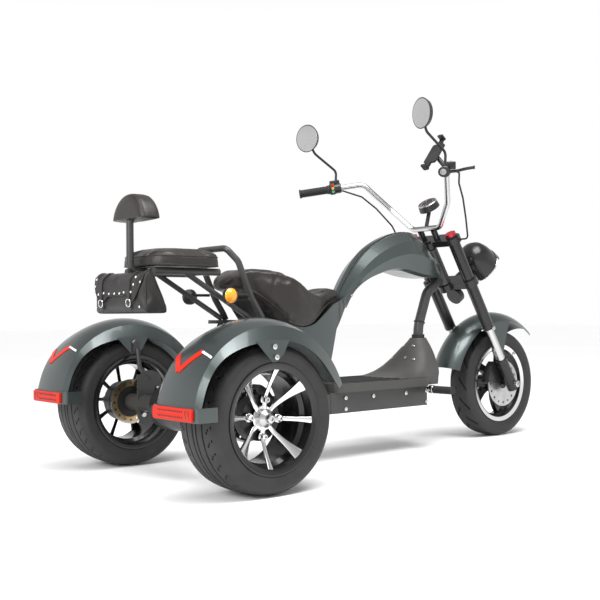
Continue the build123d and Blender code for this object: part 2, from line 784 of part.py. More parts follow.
# Fork: yokes with stem and bar risers, legs, caps, stanchions, sliders with the axle
riser_y = 36
yoke_edge = fork_leg_radius + 10  # from the line of the legs to the yokes' front edge
bar_height = 776
bar_ahead = -11
with BuildPart() as fork_yokes:
    for bottom, top in ((lower_yoke_bottom, lower_yoke_top), (upper_yoke_bottom, upper_yoke_top)):
        with BuildSketch(fork_plane.offset(bottom)):
            SlotCenterToCenter(2 * fork_half, 2 * yoke_edge, rotation=90)
            with Locations((-yoke_offset, 0)):
                Circle(30)
            with Locations((-yoke_offset / 2, 0)):
                Rectangle(yoke_offset, 60)
            with Locations((0, fork_half), (0, -fork_half)):
                Circle(fork_leg_radius + seat_gap, mode=Mode.SUBTRACT)
        extrude(amount=top - bottom)
    with BuildSketch(head_plane.offset(lower_yoke_bottom)):
        Circle(stem_radius)
    extrude(amount=upper_yoke_top - lower_yoke_bottom + 6)
    with BuildSketch(fork_plane.offset(upper_yoke_top)):
        with Locations((bar_ahead, riser_y), (bar_ahead, -riser_y)):
            Circle(13)
    extrude(amount=bar_height - bar_radius - seat_gap - upper_yoke_top)
save(fork_yokes.part, "fork_yokes")

# radius, bottom and top of each turned piece of a fork leg
leg_pieces = (
    ("fork_legs", fork_leg_radius, leg_bottom, leg_top),
    ("fork_caps", fork_leg_radius - 2, leg_top + seat_gap, leg_top + 11),
    ("fork_stanchions", stanchion_radius, slider_top + seat_gap, leg_bottom - seat_gap),
)
for name, radius, bottom, top in leg_pieces:
    with BuildPart() as leg_piece:
        with BuildSketch(fork_plane.offset(bottom)):
            with Locations((0, fork_half), (0, -fork_half)):
                Circle(radius)
        extrude(amount=top - bottom)
    save(leg_piece.part, name)

with BuildPart() as fork_sliders:
    with BuildSketch(fork_plane.offset(-26)):
        with Locations((0, fork_half), (0, -fork_half)):
            Circle(slider_radius)
    extrude(amount=slider_top + 26)
    with BuildSketch(front_face.offset(-fork_half)):
        Circle(axle_radius)
    extrude(amount=2 * fork_half)
save(fork_sliders.part, "fork_sliders")

front_caliper_heading = 152
front_caliper_half_angle = 24
front_caliper_radius = 122
with BuildPart() as front_caliper:
    slot_low = -front_disc_y - front_disc_thickness / 2 - running_gap
    slot_high = -front_disc_y + front_disc_thickness / 2 + running_gap
    layers = (
        (slot_high, fork_half - slider_radius - seat_gap - slot_high, slider_radius),
        (slot_low - 9, 9, 52),
        (slot_low, slot_high - slot_low, front_disc_radius + running_gap),
    )
    for start, thickness, inner in layers:
        layer = ring_sector(
            front_face.offset(start), inner, front_caliper_radius, front_caliper_heading, front_caliper_half_angle
        )
        extrude(layer, amount=thickness)
save(front_caliper.part, "front_caliper")

# Front mudguard: crowned band with stays down to the sliders
front_guard_radius = 348
front_guard_half = 74
front_guard_drop = 40
front_guard_wall = 3
front_guard_rear = 160
front_guard_front = 52
front_guard_centre = Vector(front_x - 8, 0, 190)
stay_outline = ((1512, 486), (1576, 499), (1642, 496), (1606, 380), (1580, 300), (1560, 300), (1524, 380))
with BuildPart() as front_guard:
    ray = Vector(cos(radians(front_guard_rear)), 0, sin(radians(front_guard_rear)))
    with BuildSketch(Plane(origin=front_guard_centre, x_dir=ray, z_dir=(-ray.Z, 0, ray.X))):
        with BuildLine():
            edge = front_guard_radius - front_guard_drop
            outside = ThreePointArc((edge, -front_guard_half), (front_guard_radius, 0), (edge, front_guard_half))
            inside = ThreePointArc(
                (edge, front_guard_wall - front_guard_half),
                (front_guard_radius - front_guard_wall, 0),
                (edge, front_guard_half - front_guard_wall),
            )
            Line(outside @ 0, inside @ 0)
            Line(outside @ 1, inside @ 1)
        make_face()
    revolve(axis=Axis(front_guard_centre, (0, 1, 0)), revolution_arc=front_guard_rear - front_guard_front)
    for out in (1, -1):
        stay_plane = Plane(origin=(rear_x, out * (front_guard_half - 2), 0), x_dir=(1, 0, 0), z_dir=(0, -1, 0))
        with BuildSketch(stay_plane):
            Polygon(*stay_outline, align=None)
        extrude(amount=2, both=True)
        boss = fork_plane.from_local_coords((0, out * front_guard_half, 100))
        seat = fork_plane.from_local_coords((0, out * (fork_half - slider_radius - seat_gap), 100))
        round_bar([boss, seat], 0, 10)
save(front_guard.part, "front_guard")

# Headlight bucket with its bracket, and the lens
lamp_x = 1402
lamp_z = 762
lamp_length = 196
with BuildPart() as headlight:
    with BuildSketch(Plane(origin=spot(lamp_x, 0, lamp_z))):
        with BuildLine():
            ThreePointArc((0, 0), (28, 48), (90, 72))
            Polyline((90, 72), (lamp_length, 76), (lamp_length, 70), (lamp_length - 14, 70), (lamp_length - 14, 0), (0, 0))
        make_face()
    revolve(axis=Axis(spot(lamp_x, 0, lamp_z), (1, 0, 0)))
    bracket = [(yoke_edge + seat_gap, 0, 510), (130, 0, 510)]
    round_bar([fork_plane.from_local_coords(point) for point in bracket], 0, 10)
save(headlight.part, "headlight")
with BuildPart() as headlight_lens:
    with BuildSketch(Plane(origin=spot(lamp_x, 0, lamp_z))):
        with BuildLine():
            TangentArc((lamp_length + 2, 0), (lamp_length - 13.5, 69), tangent=(0, 1))
            Polyline((lamp_length - 13.5, 69), (lamp_length - 13.5, 0), (lamp_length + 2, 0))
        make_face()
    revolve(axis=Axis(spot(lamp_x, 0, lamp_z), (1, 0, 0)))
save(headlight_lens.part, "headlight_lens")

# Handlebar, grips, controls and mirrors
bar_corners = ((850, 400, 1043), (1060, 232, 1083), (1150, 158, 975), (1195, 75, 0))
bar_centre = fork_plane.from_local_coords((bar_ahead, 0, bar_height))
bar_half = [spot(x, y, z) for x, y, z in bar_corners[:3]]
bar_half.append(Vector(bar_centre.X, bar_corners[3][1], bar_centre.Z))
bar_path = bar_half + [Vector(p.X, -p.Y, p.Z) for p in reversed(bar_half)]


def bar_end(out):
    """The bar's tip on one side, and the direction inwards along its grip."""
    tip = Vector(bar_half[0].X, out * bar_half[0].Y, bar_half[0].Z)
    corner = Vector(bar_half[1].X, out * bar_half[1].Y, bar_half[1].Z)
    return tip, (corner - tip).normalized()


with BuildPart() as handlebar:
    round_bar(bar_path, [50, 60, 40, 40, 60, 50], bar_radius)
    for out in (1, -1):
        tip, inward = bar_end(out)
        with BuildSketch(Plane(origin=tip, z_dir=inward)):
            Circle(bar_end_bore_radius)
        extrude(amount=bar_end_bore_depth, mode=Mode.SUBTRACT)
save(handlebar.part, "handlebar")

with BuildPart() as grips:
    for out in (1, -1):
        tip, inward = bar_end(out)
        with BuildSketch(Plane(origin=tip, z_dir=inward)):
            Circle(grip_radius)
            Circle(bar_radius + seat_gap, mode=Mode.SUBTRACT)
        extrude(amount=grip_length)
save(grips.part, "grips")

control_gap = 1
control_length = 46
control_radius = 21
with BuildPart() as bar_controls:
    for out in (1, -1):
        tip, inward = bar_end(out)
        with BuildSketch(Plane(origin=tip + inward * (grip_length + control_gap), z_dir=inward)):
            Circle(control_radius)
            Circle(bar_radius + seat_gap, mode=Mode.SUBTRACT)
        extrude(amount=control_length)
        ahead = Vector(-inward.Y, inward.X, 0).normalized() * out
        root = tip + inward * (grip_length + 30)
        round_bar(
            [root + ahead * 18, root + ahead * 52, tip + inward * 60 + ahead * 62, tip + inward * 4 + ahead * 48],
            [14, 60],
            6,
        )
save(bar_controls.part, "bar_controls")

mirror_radius = 57
mirror_depth = 16
mirror_spot = (825, 320, 1265)
with BuildPart() as mirrors:
    for out in (1, -1):
        tip, inward = bar_end(out)
        foot = tip + inward * (grip_length + 24) + Vector(0, 0, 22.6)
        centre = spot(mirror_spot[0], out * mirror_spot[1], mirror_spot[2])
        back = Vector(0.96, out * 0.2, 0.05)
        face_plane = Plane(origin=centre, z_dir=back)
        with BuildSketch(face_plane):
            Circle(mirror_radius)
        extrude(amount=mirror_depth, taper=25)
        knuckle = centre + back * (mirror_depth - 4)
        round_bar([foot, foot + Vector(4, 0, 50), knuckle + Vector(20, -out * 10, -60), knuckle], [24, 40], 5)
save(mirrors.part, "mirrors")

# Instrument pod, phone holder, horn and cables
with BuildPart() as dash:
    pod_line = Vector(0.266, 0, 0.964)
    round_bar([bar_centre + pod_line * (bar_radius + seat_gap), bar_centre + pod_line * 92], 0, 8)
    pod_face = Plane(origin=bar_centre + pod_line * 88, z_dir=(-0.55, 0, 0.83))
    with BuildSketch(pod_face):
        Circle(44)
    extrude(amount=26, taper=8)
save(dash.part, "dash")

with BuildPart() as horn:
    horn_centre = fork_plane.from_local_coords((-2, 0, lower_yoke_bottom - seat_gap))
    round_bar([horn_centre, horn_centre - fork_up * 34], 0, 7)
    with BuildSketch(Plane(origin=horn_centre - fork_up * 46 - fork_ahead * 12, z_dir=fork_ahead)):
        Circle(36)
    extrude(amount=26)
save(horn.part, "horn")

holder_radius = 18
with BuildPart() as phone_holder:
    tip, inward = bar_end(-1)
    with BuildSketch(Plane(origin=tip + inward * (grip_length + control_length + 14), z_dir=inward)):
        Circle(holder_radius)
        Circle(bar_radius + seat_gap, mode=Mode.SUBTRACT)
    extrude(amount=20)
    clamp = tip + inward * (grip_length + control_length + 24)
    plate_normal = Vector(-0.78, 0, 0.62)
    neck = clamp + Vector(0, 0, holder_radius - 2)
    plate_centre = clamp + Vector(-10, 44, 70)
    round_bar([neck, plate_centre + plate_normal * 2], 0, 9)
    with BuildSketch(Plane(origin=plate_centre, x_dir=(0, 1, 0), z_dir=plate_normal)):
        RectangleRounded(58, 96, 8)
        with Locations((0, 62), (0, -62)):
            RectangleRounded(18, 34, 5)
    extrude(amount=8)
    with BuildSketch(Plane(origin=plate_centre, x_dir=(0, 1, 0), z_dir=plate_normal)):
        with Locations((0, 78), (0, -78)):
            RectangleRounded(26, 10, 4)
    extrude(amount=24)
save(phone_holder.part, "phone_holder")

# Cable sleeves from the controls round the front of the bar to the ends of the upper yoke
cable_radius = 3.5
cable_start = grip_length + control_gap + control_length - 5
cable_run = ((1088, 270, 1036), (1146, 240, 986), (1204, 205, 913))
with BuildPart() as cables:
    for side, out in sides:
        tip, inward = bar_end(out)
        ahead = Vector(-inward.Y, inward.X, 0).normalized() * out
        root = tip + inward * cable_start
        points = [root + ahead * (control_radius + seat_gap), root + ahead * 52]
        points += [spot(x, out * y, z) for x, y, z in cable_run]
        for y in (fork_half + 80, fork_half + yoke_edge + seat_gap):
            points.append(fork_plane.from_local_coords((0, out * y, (upper_yoke_bottom + upper_yoke_top) / 2)))
        round_bar(points, 20, cable_radius)
save(cables.part, "cables")
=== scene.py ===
"""Looks of the electric trike: finishes, stuffed seats, tyre tread, fittings, light and camera.

Metres. +X points forward, +Y to the rider's left, +Z up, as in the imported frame.
"""
import json
from math import cos, pi, radians, sin

import bmesh
import bpy
from mathutils import Matrix, Vector


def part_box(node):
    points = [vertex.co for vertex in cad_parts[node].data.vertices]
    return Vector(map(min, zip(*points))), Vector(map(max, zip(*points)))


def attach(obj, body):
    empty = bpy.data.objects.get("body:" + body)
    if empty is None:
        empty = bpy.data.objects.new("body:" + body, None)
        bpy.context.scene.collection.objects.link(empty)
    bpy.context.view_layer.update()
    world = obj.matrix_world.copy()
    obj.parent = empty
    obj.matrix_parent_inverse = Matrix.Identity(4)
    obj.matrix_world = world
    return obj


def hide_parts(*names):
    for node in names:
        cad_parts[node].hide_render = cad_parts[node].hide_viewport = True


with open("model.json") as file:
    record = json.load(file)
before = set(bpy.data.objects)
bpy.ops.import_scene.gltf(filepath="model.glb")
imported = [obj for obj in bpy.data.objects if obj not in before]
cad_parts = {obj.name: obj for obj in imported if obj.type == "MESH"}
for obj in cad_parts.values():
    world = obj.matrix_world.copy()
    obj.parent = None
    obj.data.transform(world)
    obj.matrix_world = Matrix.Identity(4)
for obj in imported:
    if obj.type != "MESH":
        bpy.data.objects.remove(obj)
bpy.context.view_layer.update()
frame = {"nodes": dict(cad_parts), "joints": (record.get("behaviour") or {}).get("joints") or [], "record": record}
nodes = frame["nodes"]
joints = {joint["name"]: joint for joint in frame["joints"]}
front_axle = Vector(joints["front_wheel_spin"]["pos_m"])
rear_axles = {side: Vector(joints[f"rear_{side}_wheel_spin"]["pos_m"]) for side in ("left", "right")}
rear_x = rear_axles["left"].x
fork_up = Vector(joints["steer"]["axis"])
fork_ahead = Vector((fork_up.z, 0, -fork_up.x))
sides = (("left", 1), ("right", -1))


def spot(x, y, z):
    """A point given in millimetres by its reach ahead of the rear axle, its side and its height."""
    return Vector((rear_x + x / 1000, y / 1000, z / 1000))


def on_fork(ahead, side, up):
    """A point given in millimetres from the front axle, across and along the fork legs."""
    return front_axle + (fork_ahead * ahead + Vector((0, 1, 0)) * side + fork_up * up) / 1000


# Effects shared by the finishes. Each puts out a colour, a roughness and a height.
def new_group(name, inputs, outputs):
    """An empty shader group with its sockets, its input node and its output node."""
    group = bpy.data.node_groups.new(name, "ShaderNodeTree")
    for label, kind, value in inputs:
        socket = group.interface.new_socket(label, in_out="INPUT", socket_type=f"NodeSocket{kind}")
        socket.default_value = value
    for label, kind in outputs:
        group.interface.new_socket(label, in_out="OUTPUT", socket_type=f"NodeSocket{kind}")
    return group, group.nodes.new("NodeGroupInput"), group.nodes.new("NodeGroupOutput")


def add_node(tree, kind, links=(), **settings):
    """A node with its settings made and its inputs linked or given."""
    node = tree.nodes.new(kind)
    for label, value in settings.items():
        setattr(node, label, value)
    for socket, value in links:
        if isinstance(value, bpy.types.NodeSocket):
            tree.links.new(value, node.inputs[socket])
        else:
            node.inputs[socket].default_value = value
    return node


def ranged(tree, value, low, high, to_low=0.0, to_high=1.0):
    """The value's range from low to high, stretched to another range."""
    links = (("Value", value), ("From Min", low), ("From Max", high), ("To Min", to_low), ("To Max", to_high))
    return add_node(tree, "ShaderNodeMapRange", links).outputs["Result"]


def product(tree, first, second):
    return add_node(tree, "ShaderNodeMath", ((0, first), (1, second)), operation="MULTIPLY").outputs[0]


def mixed(tree, share, first, second):
    """One colour fading into another."""
    node = add_node(tree, "ShaderNodeMix", (("Factor", share),), data_type="RGBA")
    for socket, value in ((node.inputs[6], first), (node.inputs[7], second)):
        if isinstance(value, bpy.types.NodeSocket):
            tree.links.new(value, socket)
        else:
            socket.default_value = value
    return node.outputs[2]


surface_outputs = (("Colour", "Color"), ("Roughness", "Float"), ("Height", "Float"))


def make_coat_group():
    """Paint, plastic and rubber: soft patches, fine grain, and dust on what faces up."""
    inputs = (
        ("Colour", "Color", (0.1, 0.1, 0.1, 1)),
        ("Patch Colour", "Color", (0.12, 0.12, 0.12, 1)),
        ("Patch Scale", "Float", 6.0),
        ("Grain Scale", "Float", 900.0),
        ("Rough Low", "Float", 0.35),
        ("Rough High", "Float", 0.5),
        ("Dust Colour", "Color", (0.35, 0.34, 0.32, 1)),
        ("Dust", "Float", 0.06),
    )
    tree, given, put = new_group("worn_coat", inputs, surface_outputs)
    place = add_node(tree, "ShaderNodeTexCoord")
    patches = add_node(
        tree, "ShaderNodeTexNoise",
        (("Vector", place.outputs["Object"]), ("Scale", given.outputs["Patch Scale"]), ("Detail", 4.0)),
    ).outputs["Fac"]
    grain = add_node(
        tree, "ShaderNodeTexNoise",
        (("Vector", place.outputs["Object"]), ("Scale", given.outputs["Grain Scale"]), ("Detail", 2.0)),
    ).outputs["Fac"]
    patchy = ranged(tree, patches, 0.35, 0.65)
    toned = mixed(tree, patchy, given.outputs["Colour"], given.outputs["Patch Colour"])
    facing = add_node(tree, "ShaderNodeSeparateXYZ", ((0, place.outputs["Normal"]),)).outputs["Z"]
    settled = product(tree, ranged(tree, facing, 0.2, 1.0), ranged(tree, patches, 0.3, 0.7))
    dusty = mixed(tree, product(tree, settled, given.outputs["Dust"]), toned, given.outputs["Dust Colour"])
    tree.links.new(dusty, put.inputs["Colour"])
    rough = ranged(tree, patches, 0.3, 0.7, given.outputs["Rough Low"], given.outputs["Rough High"])
    tree.links.new(rough, put.inputs["Roughness"])
    tree.links.new(grain, put.inputs["Height"])
    return tree


def make_hide_group():
    """Leather and leatherette: pebbles with painted shade in their creases, and long soft wrinkles with painted
    shade in their hollows.
    """
    inputs = (
        ("Colour", "Color", (0.1, 0.08, 0.07, 1)),
        ("Crease Colour", "Color", (0.04, 0.03, 0.03, 1)),
        ("Pebble Scale", "Float", 420.0),
        ("Wrinkle Scale", "Float", 14.0),
        ("Rough Low", "Float", 0.38),
        ("Rough High", "Float", 0.55),
    )
    tree, given, put = new_group("hide", inputs, surface_outputs)
    place = add_node(tree, "ShaderNodeTexCoord").outputs["Object"]
    pebbles = add_node(
        tree, "ShaderNodeTexVoronoi", (("Vector", place), ("Scale", given.outputs["Pebble Scale"])),
        feature="DISTANCE_TO_EDGE",
    ).outputs["Distance"]
    wrinkles = add_node(
        tree, "ShaderNodeTexNoise",
        (("Vector", place), ("Scale", given.outputs["Wrinkle Scale"]), ("Detail", 5.0), ("Distortion", 1.2)),
    ).outputs["Fac"]
    raised = ranged(tree, pebbles, 0.0, 0.35)
    crease = given.outputs["Crease Colour"]
    # painted shade: the creases between the pebbles fade to the crease colour
    toned = mixed(tree, ranged(tree, pebbles, 0.0, 0.2), crease, given.outputs["Colour"])
    # painted shade: the wrinkles' hollows, where the height is low, fade to the crease colour
    crease_shaded = mixed(tree, ranged(tree, wrinkles, 0.62, 0.35, 0.0, 0.35), toned, crease)
    tree.links.new(crease_shaded, put.inputs["Colour"])
    rough = ranged(tree, wrinkles, 0.3, 0.7, given.outputs["Rough Low"], given.outputs["Rough High"])
    tree.links.new(rough, put.inputs["Roughness"])
    deep = add_node(tree, "ShaderNodeMath", ((0, raised), (1, wrinkles)), operation="ADD").outputs[0]
    tree.links.new(deep, put.inputs["Height"])
    return tree


def make_zone_group():
    """A mask on a wheel: between two radii from its axle, on faces that look along the axle."""
    inputs = (
        ("Axle", "Vector", (0, 0, 0)),
        ("Inner", "Float", 0.0),
        ("Outer", "Float", 0.15),
        ("Facing", "Vector", (0, 1, 0)),
        ("Least Facing", "Float", 0.5),
    )
    tree, given, put = new_group("wheel_zone", inputs, (("Mask", "Float"),))
    place = add_node(tree, "ShaderNodeTexCoord")
    reach = add_node(
        tree, "ShaderNodeVectorMath", ((0, place.outputs["Object"]), (1, given.outputs["Axle"])),
        operation="SUBTRACT",
    ).outputs[0]
    flat = add_node(
        tree, "ShaderNodeVectorMath", ((0, reach), (1, (1, 0, 1))), operation="MULTIPLY"
    ).outputs[0]
    radius = add_node(tree, "ShaderNodeVectorMath", ((0, flat),), operation="LENGTH").outputs["Value"]
    looks = add_node(
        tree, "ShaderNodeVectorMath", ((0, place.outputs["Normal"]), (1, given.outputs["Facing"])),
        operation="DOT_PRODUCT",
    ).outputs["Value"]
    beyond = add_node(
        tree, "ShaderNodeMath", ((0, radius), (1, given.outputs["Inner"])), operation="GREATER_THAN"
    )
    within = add_node(
        tree, "ShaderNodeMath", ((0, radius), (1, given.outputs["Outer"])), operation="LESS_THAN"
    )
    turned = add_node(
        tree, "ShaderNodeMath", ((0, looks), (1, given.outputs["Least Facing"])), operation="GREATER_THAN"
    )
    ring = product(tree, beyond.outputs[0], within.outputs[0])
    tree.links.new(product(tree, ring, turned.outputs[0]), put.inputs["Mask"])
    return tree


coat = make_coat_group()
hide = make_hide_group()
wheel_zone = make_zone_group()


def finish_of(name, group, values, relief=0.1, relief_depth=0.0004, **shader_values):
    """A material whose colour, roughness and relief come from a shared effect."""
    made = bpy.data.materials.new(name)
    made.use_nodes = True
    tree = made.node_tree
    shader = tree.nodes["Principled BSDF"]
    effect = add_node(tree, "ShaderNodeGroup", node_tree=group)
    for label, value in values.items():
        effect.inputs[label.replace("_", " ").title()].default_value = value
    tree.links.new(effect.outputs["Colour"], shader.inputs["Base Color"])
    tree.links.new(effect.outputs["Roughness"], shader.inputs["Roughness"])
    bump = add_node(
        tree, "ShaderNodeBump",
        (("Strength", relief), ("Distance", relief_depth), ("Height", effect.outputs["Height"])),
    )
    tree.links.new(bump.outputs["Normal"], shader.inputs["Normal"])
    for label, value in shader_values.items():
        shader.inputs[label.replace("_", " ").title().replace("Ior", "IOR")].default_value = value
    return made


def add_zone(made, axle, inner, outer, colour, rough, metallic, facing=(0, 0, 0), least=-1.0):
    """Gives a ring of a wheel's material another colour and gloss."""
    tree = made.node_tree
    shader = tree.nodes["Principled BSDF"]
    zone = add_node(tree, "ShaderNodeGroup", node_tree=wheel_zone)
    for label, value in (
        ("Axle", axle), ("Inner", inner), ("Outer", outer), ("Facing", facing), ("Least Facing", least)
    ):
        zone.inputs[label].default_value = value
    mask = zone.outputs["Mask"]
    under = shader.inputs["Base Color"].links[0].from_socket
    tree.links.new(mixed(tree, mask, under, (*colour, 1)), shader.inputs["Base Color"])
    rough_under = shader.inputs["Roughness"].links[0].from_socket
    tree.links.new(ranged(tree, mask, 0.0, 1.0, rough_under, rough), shader.inputs["Roughness"])
    metal = shader.inputs["Metallic"]
    metal_under = metal.links[0].from_socket if metal.links else metal.default_value
    tree.links.new(ranged(tree, mask, 0.0, 1.0, metal_under, metallic), metal)
    return made


def grey(value, warm=0.0):
    """A grey, a little warm or cool."""
    return (value * (1 + warm), value, value * (1 - warm), 1)


def coated(name, colour, patch_colour, rough, dust=0.0, patch_scale=6.0, **shader_values):
    """A finish of paint, plastic, rubber or metal. rough holds its lowest and highest roughness."""
    values = dict(
        colour=colour, patch_colour=patch_colour, patch_scale=patch_scale, rough_low=rough[0],
        rough_high=rough[1], dust=dust,
    )
    return finish_of(name, coat, values, **shader_values)


def steel(name):
    return coated(name, grey(0.5), grey(0.42), (0.24, 0.36), patch_scale=30.0, relief=0.1, metallic=1.0)


def black_alloy(name):
    return coated(
        name, grey(0.007), grey(0.01), (0.16, 0.26), 0.02,
        relief=0.05, coat_weight=0.2, specular_ior_level=0.35,
    )


finishes = {
    "frame_paint": coated(
        "satin_frame_paint", grey(0.034, 0.02), grey(0.044, 0.02), (0.3, 0.42), 0.03,
        relief=0.05, coat_weight=0.1, specular_ior_level=0.35,
    ),
    "body_paint": coated(
        "metallic_body_paint", (0.052, 0.064, 0.063, 1), (0.07, 0.086, 0.084, 1), (0.3, 0.4), 0.01, 1600.0,
        relief=0.03, relief_depth=0.0001, metallic=0.75, coat_weight=0.45, coat_roughness=0.08,
    ),
    "deck_plastic": coated(
        "moulded_deck_plastic", grey(0.045, 0.03), grey(0.056, 0.03), (0.42, 0.56), 0.05,
        relief=0.25, specular_ior_level=0.35,
    ),
    "rubber": coated(
        "soft_rubber", grey(0.014, 0.03), grey(0.02, 0.03), (0.55, 0.7), 0.05,
        relief=0.2, specular_ior_level=0.3,
    ),
    "leather": finish_of(
        "seat_leatherette", hide,
        dict(colour=(0.022, 0.018, 0.017, 1), crease_colour=(0.012, 0.01, 0.009, 1), rough_low=0.3,
             rough_high=0.45),
        relief=0.22, relief_depth=0.0006, specular_ior_level=0.4,
    ),
    "bag_leather": finish_of(
        "bag_leather", hide,
        dict(colour=(0.014, 0.012, 0.011, 1), crease_colour=(0.007, 0.006, 0.006, 1), pebble_scale=300.0,
             wrinkle_scale=22.0, rough_low=0.28, rough_high=0.45),
        relief=0.5, relief_depth=0.0009, specular_ior_level=0.4,
    ),
    "black_plastic": coated(
        "satin_black_plastic", grey(0.012), grey(0.018), (0.32, 0.45), 0.03,
        relief=0.12, specular_ior_level=0.35,
    ),
    "black_metal": coated(
        "gloss_black_metal", grey(0.009), grey(0.013), (0.2, 0.32), 0.02,
        relief=0.05, coat_weight=0.15, specular_ior_level=0.35,
    ),
    "chrome": coated("bright_chrome", grey(0.55), grey(0.5), (0.12, 0.18), relief=0.005, metallic=1.0),
    "red_metal": coated(
        "red_anodised_metal", (0.55, 0.02, 0.035, 1), (0.62, 0.03, 0.045, 1), (0.22, 0.3),
        relief=0.05, metallic=0.75,
    ),
    "lamp_red": coated(
        "red_lamp_lens", (0.45, 0.012, 0.004, 1), (0.52, 0.018, 0.006, 1), (0.16, 0.24),
        relief=0.05, specular_ior_level=0.12,
    ),
    "lamp_amber": coated(
        "amber_lamp_lens", (0.95, 0.3, 0.008, 1), (1.0, 0.38, 0.015, 1), (0.1, 0.18), patch_scale=60.0,
        relief=0.05, coat_weight=0.6, subsurface_weight=0.1,
    ),
    "lamp_clear": coated(
        "clear_lamp_lens", (0.9, 0.92, 0.95, 1), (0.88, 0.9, 0.93, 1), (0.03, 0.06),
        relief=0.05, transmission_weight=0.85, ior=1.45,
    ),
    "tyre": coated(
        "tyre_rubber", grey(0.02, 0.01), grey(0.028, 0.01), (0.5, 0.65), 0.05, 18.0,
        relief=0.3, specular_ior_level=0.3,
    ),
    "brake_steel": steel("machined_steel"),
}
machined = (0.74, 0.74, 0.75)
rim_lip_radius = 0.167
spoke_reach = 0.15
hub_cap_radius = 0.0285
drum_step = 0.055
drum_radius = 0.0745
# painted shade: black that stands for the dark deep inside the wheel behind the spokes, laid on the flange and the
# drum's outer faces
drum_painted_shade = (0.012, 0.012, 0.012)
zinc_gold = (0.5, 0.36, 0.2)


def make_rim_finish(name, axle, inner, outer, facing, least):
    """Gloss black alloy, machined bright in a ring or on the faces that look outwards."""
    return add_zone(black_alloy(name), axle, inner, outer, machined, 0.16, 1.0, facing, least)


def make_hub_finish(name, axle, facing):
    """Steel hub and disc with a chromed cap, painted shade in black over the flange and the drum where they sit
    deep in the wheel behind the spokes, and the zinc-gold colour of the drum kept to its inward faces.
    """
    made = add_zone(steel(name), axle, hub_cap_radius, drum_radius, drum_painted_shade, 0.45, 0.0)
    return add_zone(made, axle, drum_step, drum_radius, zinc_gold, 0.34, 1.0, -Vector(facing), 0.4)


def clothe(node, made):
    """Gives a CAD node's own mesh its material."""
    nodes[node].data.materials.clear()
    nodes[node].data.materials.append(made)


for subpart in frame["record"]["subparts"]:
    if subpart["material_slot"] in finishes:
        clothe(subpart["node"], finishes[subpart["material_slot"]])
front_alloy = make_rim_finish("front_alloy", front_axle, spoke_reach, rim_lip_radius * 1.01, (0, 0, 0), -1.0)
clothe("front_rim", front_alloy)
for side, out in sides:
    clothe(f"rear_{side}_hub", make_hub_finish(f"rear_{side}_hub_metal", rear_axles[side], (0, out, 0)))


# Modelling
left = Vector((0, 1, 0))
up = Vector((0, 0, 1))
backwards = Vector((-1, 0, 0))
merge_gap = 0.00003
solid_merge_gap = 0.00002
# inset and rise of a screw head's steps, as shares of its radius and its height
head_steps = ((0.22, 0.18), (0.3, 0.0), (0.05, -0.35))


def deselect():
    bpy.ops.object.select_all(action="DESELECT")


def take(piece):
    """Makes a piece the only one selected and active."""
    deselect()
    piece.select_set(True)
    bpy.context.view_layer.objects.active = piece
    return piece


def name_piece(piece, name):
    """Gives a piece and its mesh one name."""
    piece.name = name
    piece.data.name = name
    return piece


def pick_faces(piece, wanted):
    """In edit mode, selects the faces whose middle and normal are wanted."""
    bpy.ops.mesh.select_mode(type="FACE")
    bpy.ops.mesh.select_all(action="DESELECT")
    shape = bmesh.from_edit_mesh(piece.data)
    for face in shape.faces:
        face.select_set(wanted(face.calc_center_median(), face.normal))
    bmesh.update_edit_mesh(piece.data)


def looks_up(middle, normal):
    return normal.z > 0.9


def close_up(piece, merge=0.0, fill=False):
    """Merges a piece's doubles, fills its open ends if asked, and turns its faces outwards."""
    take(piece)
    bpy.ops.object.mode_set(mode="EDIT")
    bpy.ops.mesh.select_all(action="SELECT")
    if merge:
        bpy.ops.mesh.remove_doubles(threshold=merge)
    if fill:
        bpy.ops.mesh.fill_holes(sides=0)
    bpy.ops.mesh.normals_make_consistent(inside=False)
    bpy.ops.object.mode_set(mode="OBJECT")
    return piece


def add_modifier(piece, kind, **settings):
    """Adds a modifier with its settings and applies it."""
    take(piece)
    modifier = piece.modifiers.new(kind.lower(), kind)
    for label, value in settings.items():
        setattr(modifier, label, value)
    bpy.ops.object.modifier_apply(modifier=modifier.name)
    return piece


def settle(piece, name, matrix):
    """Names a piece, puts it in its place and applies the place to its mesh."""
    name_piece(piece, name)
    piece.matrix_world = matrix
    take(piece)
    bpy.ops.object.transform_apply(location=True, rotation=True, scale=True)
    return piece


def place(piece, name, origin, axis):
    """Turns a piece modelled along Z to an axis and moves it to its place."""
    turn = axis.to_track_quat("Z", "Y").to_matrix().to_4x4()
    return settle(piece, name, Matrix.Translation(origin) @ turn)


def place_by_axes(piece, name, origin, axes):
    """Turns a piece's own X, Y and Z to three axes and moves it to its place."""
    return settle(piece, name, Matrix.Translation(origin) @ Matrix(axes).transposed().to_4x4())


def dress(piece, body, slot, made=None, angle=35):
    """Finishes a piece: smooth shading, its material, taken from the finish of its slot unless one is given, and
    the body it rides on.
    """
    take(piece)
    bpy.ops.object.shade_smooth_by_angle(angle=radians(angle))
    piece.data.materials.clear()
    piece.data.materials.append(made or finishes[slot])
    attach(piece, body)
    return piece


def start_grid(name, columns, rows):
    """A flat grid from -1 to 1 both ways, to be shaped point by point."""
    deselect()
    bpy.ops.mesh.primitive_grid_add(x_subdivisions=columns, y_subdivisions=rows, size=2)
    return name_piece(bpy.context.active_object, name)


def model_block(size, edge, segments):
    """A block with rounded edges round the middle of the axes."""
    deselect()
    bpy.ops.mesh.primitive_cube_add(size=1, scale=size)
    block = bpy.context.active_object
    bpy.ops.object.transform_apply(scale=True)
    return add_modifier(block, "BEVEL", width=edge, segments=segments)


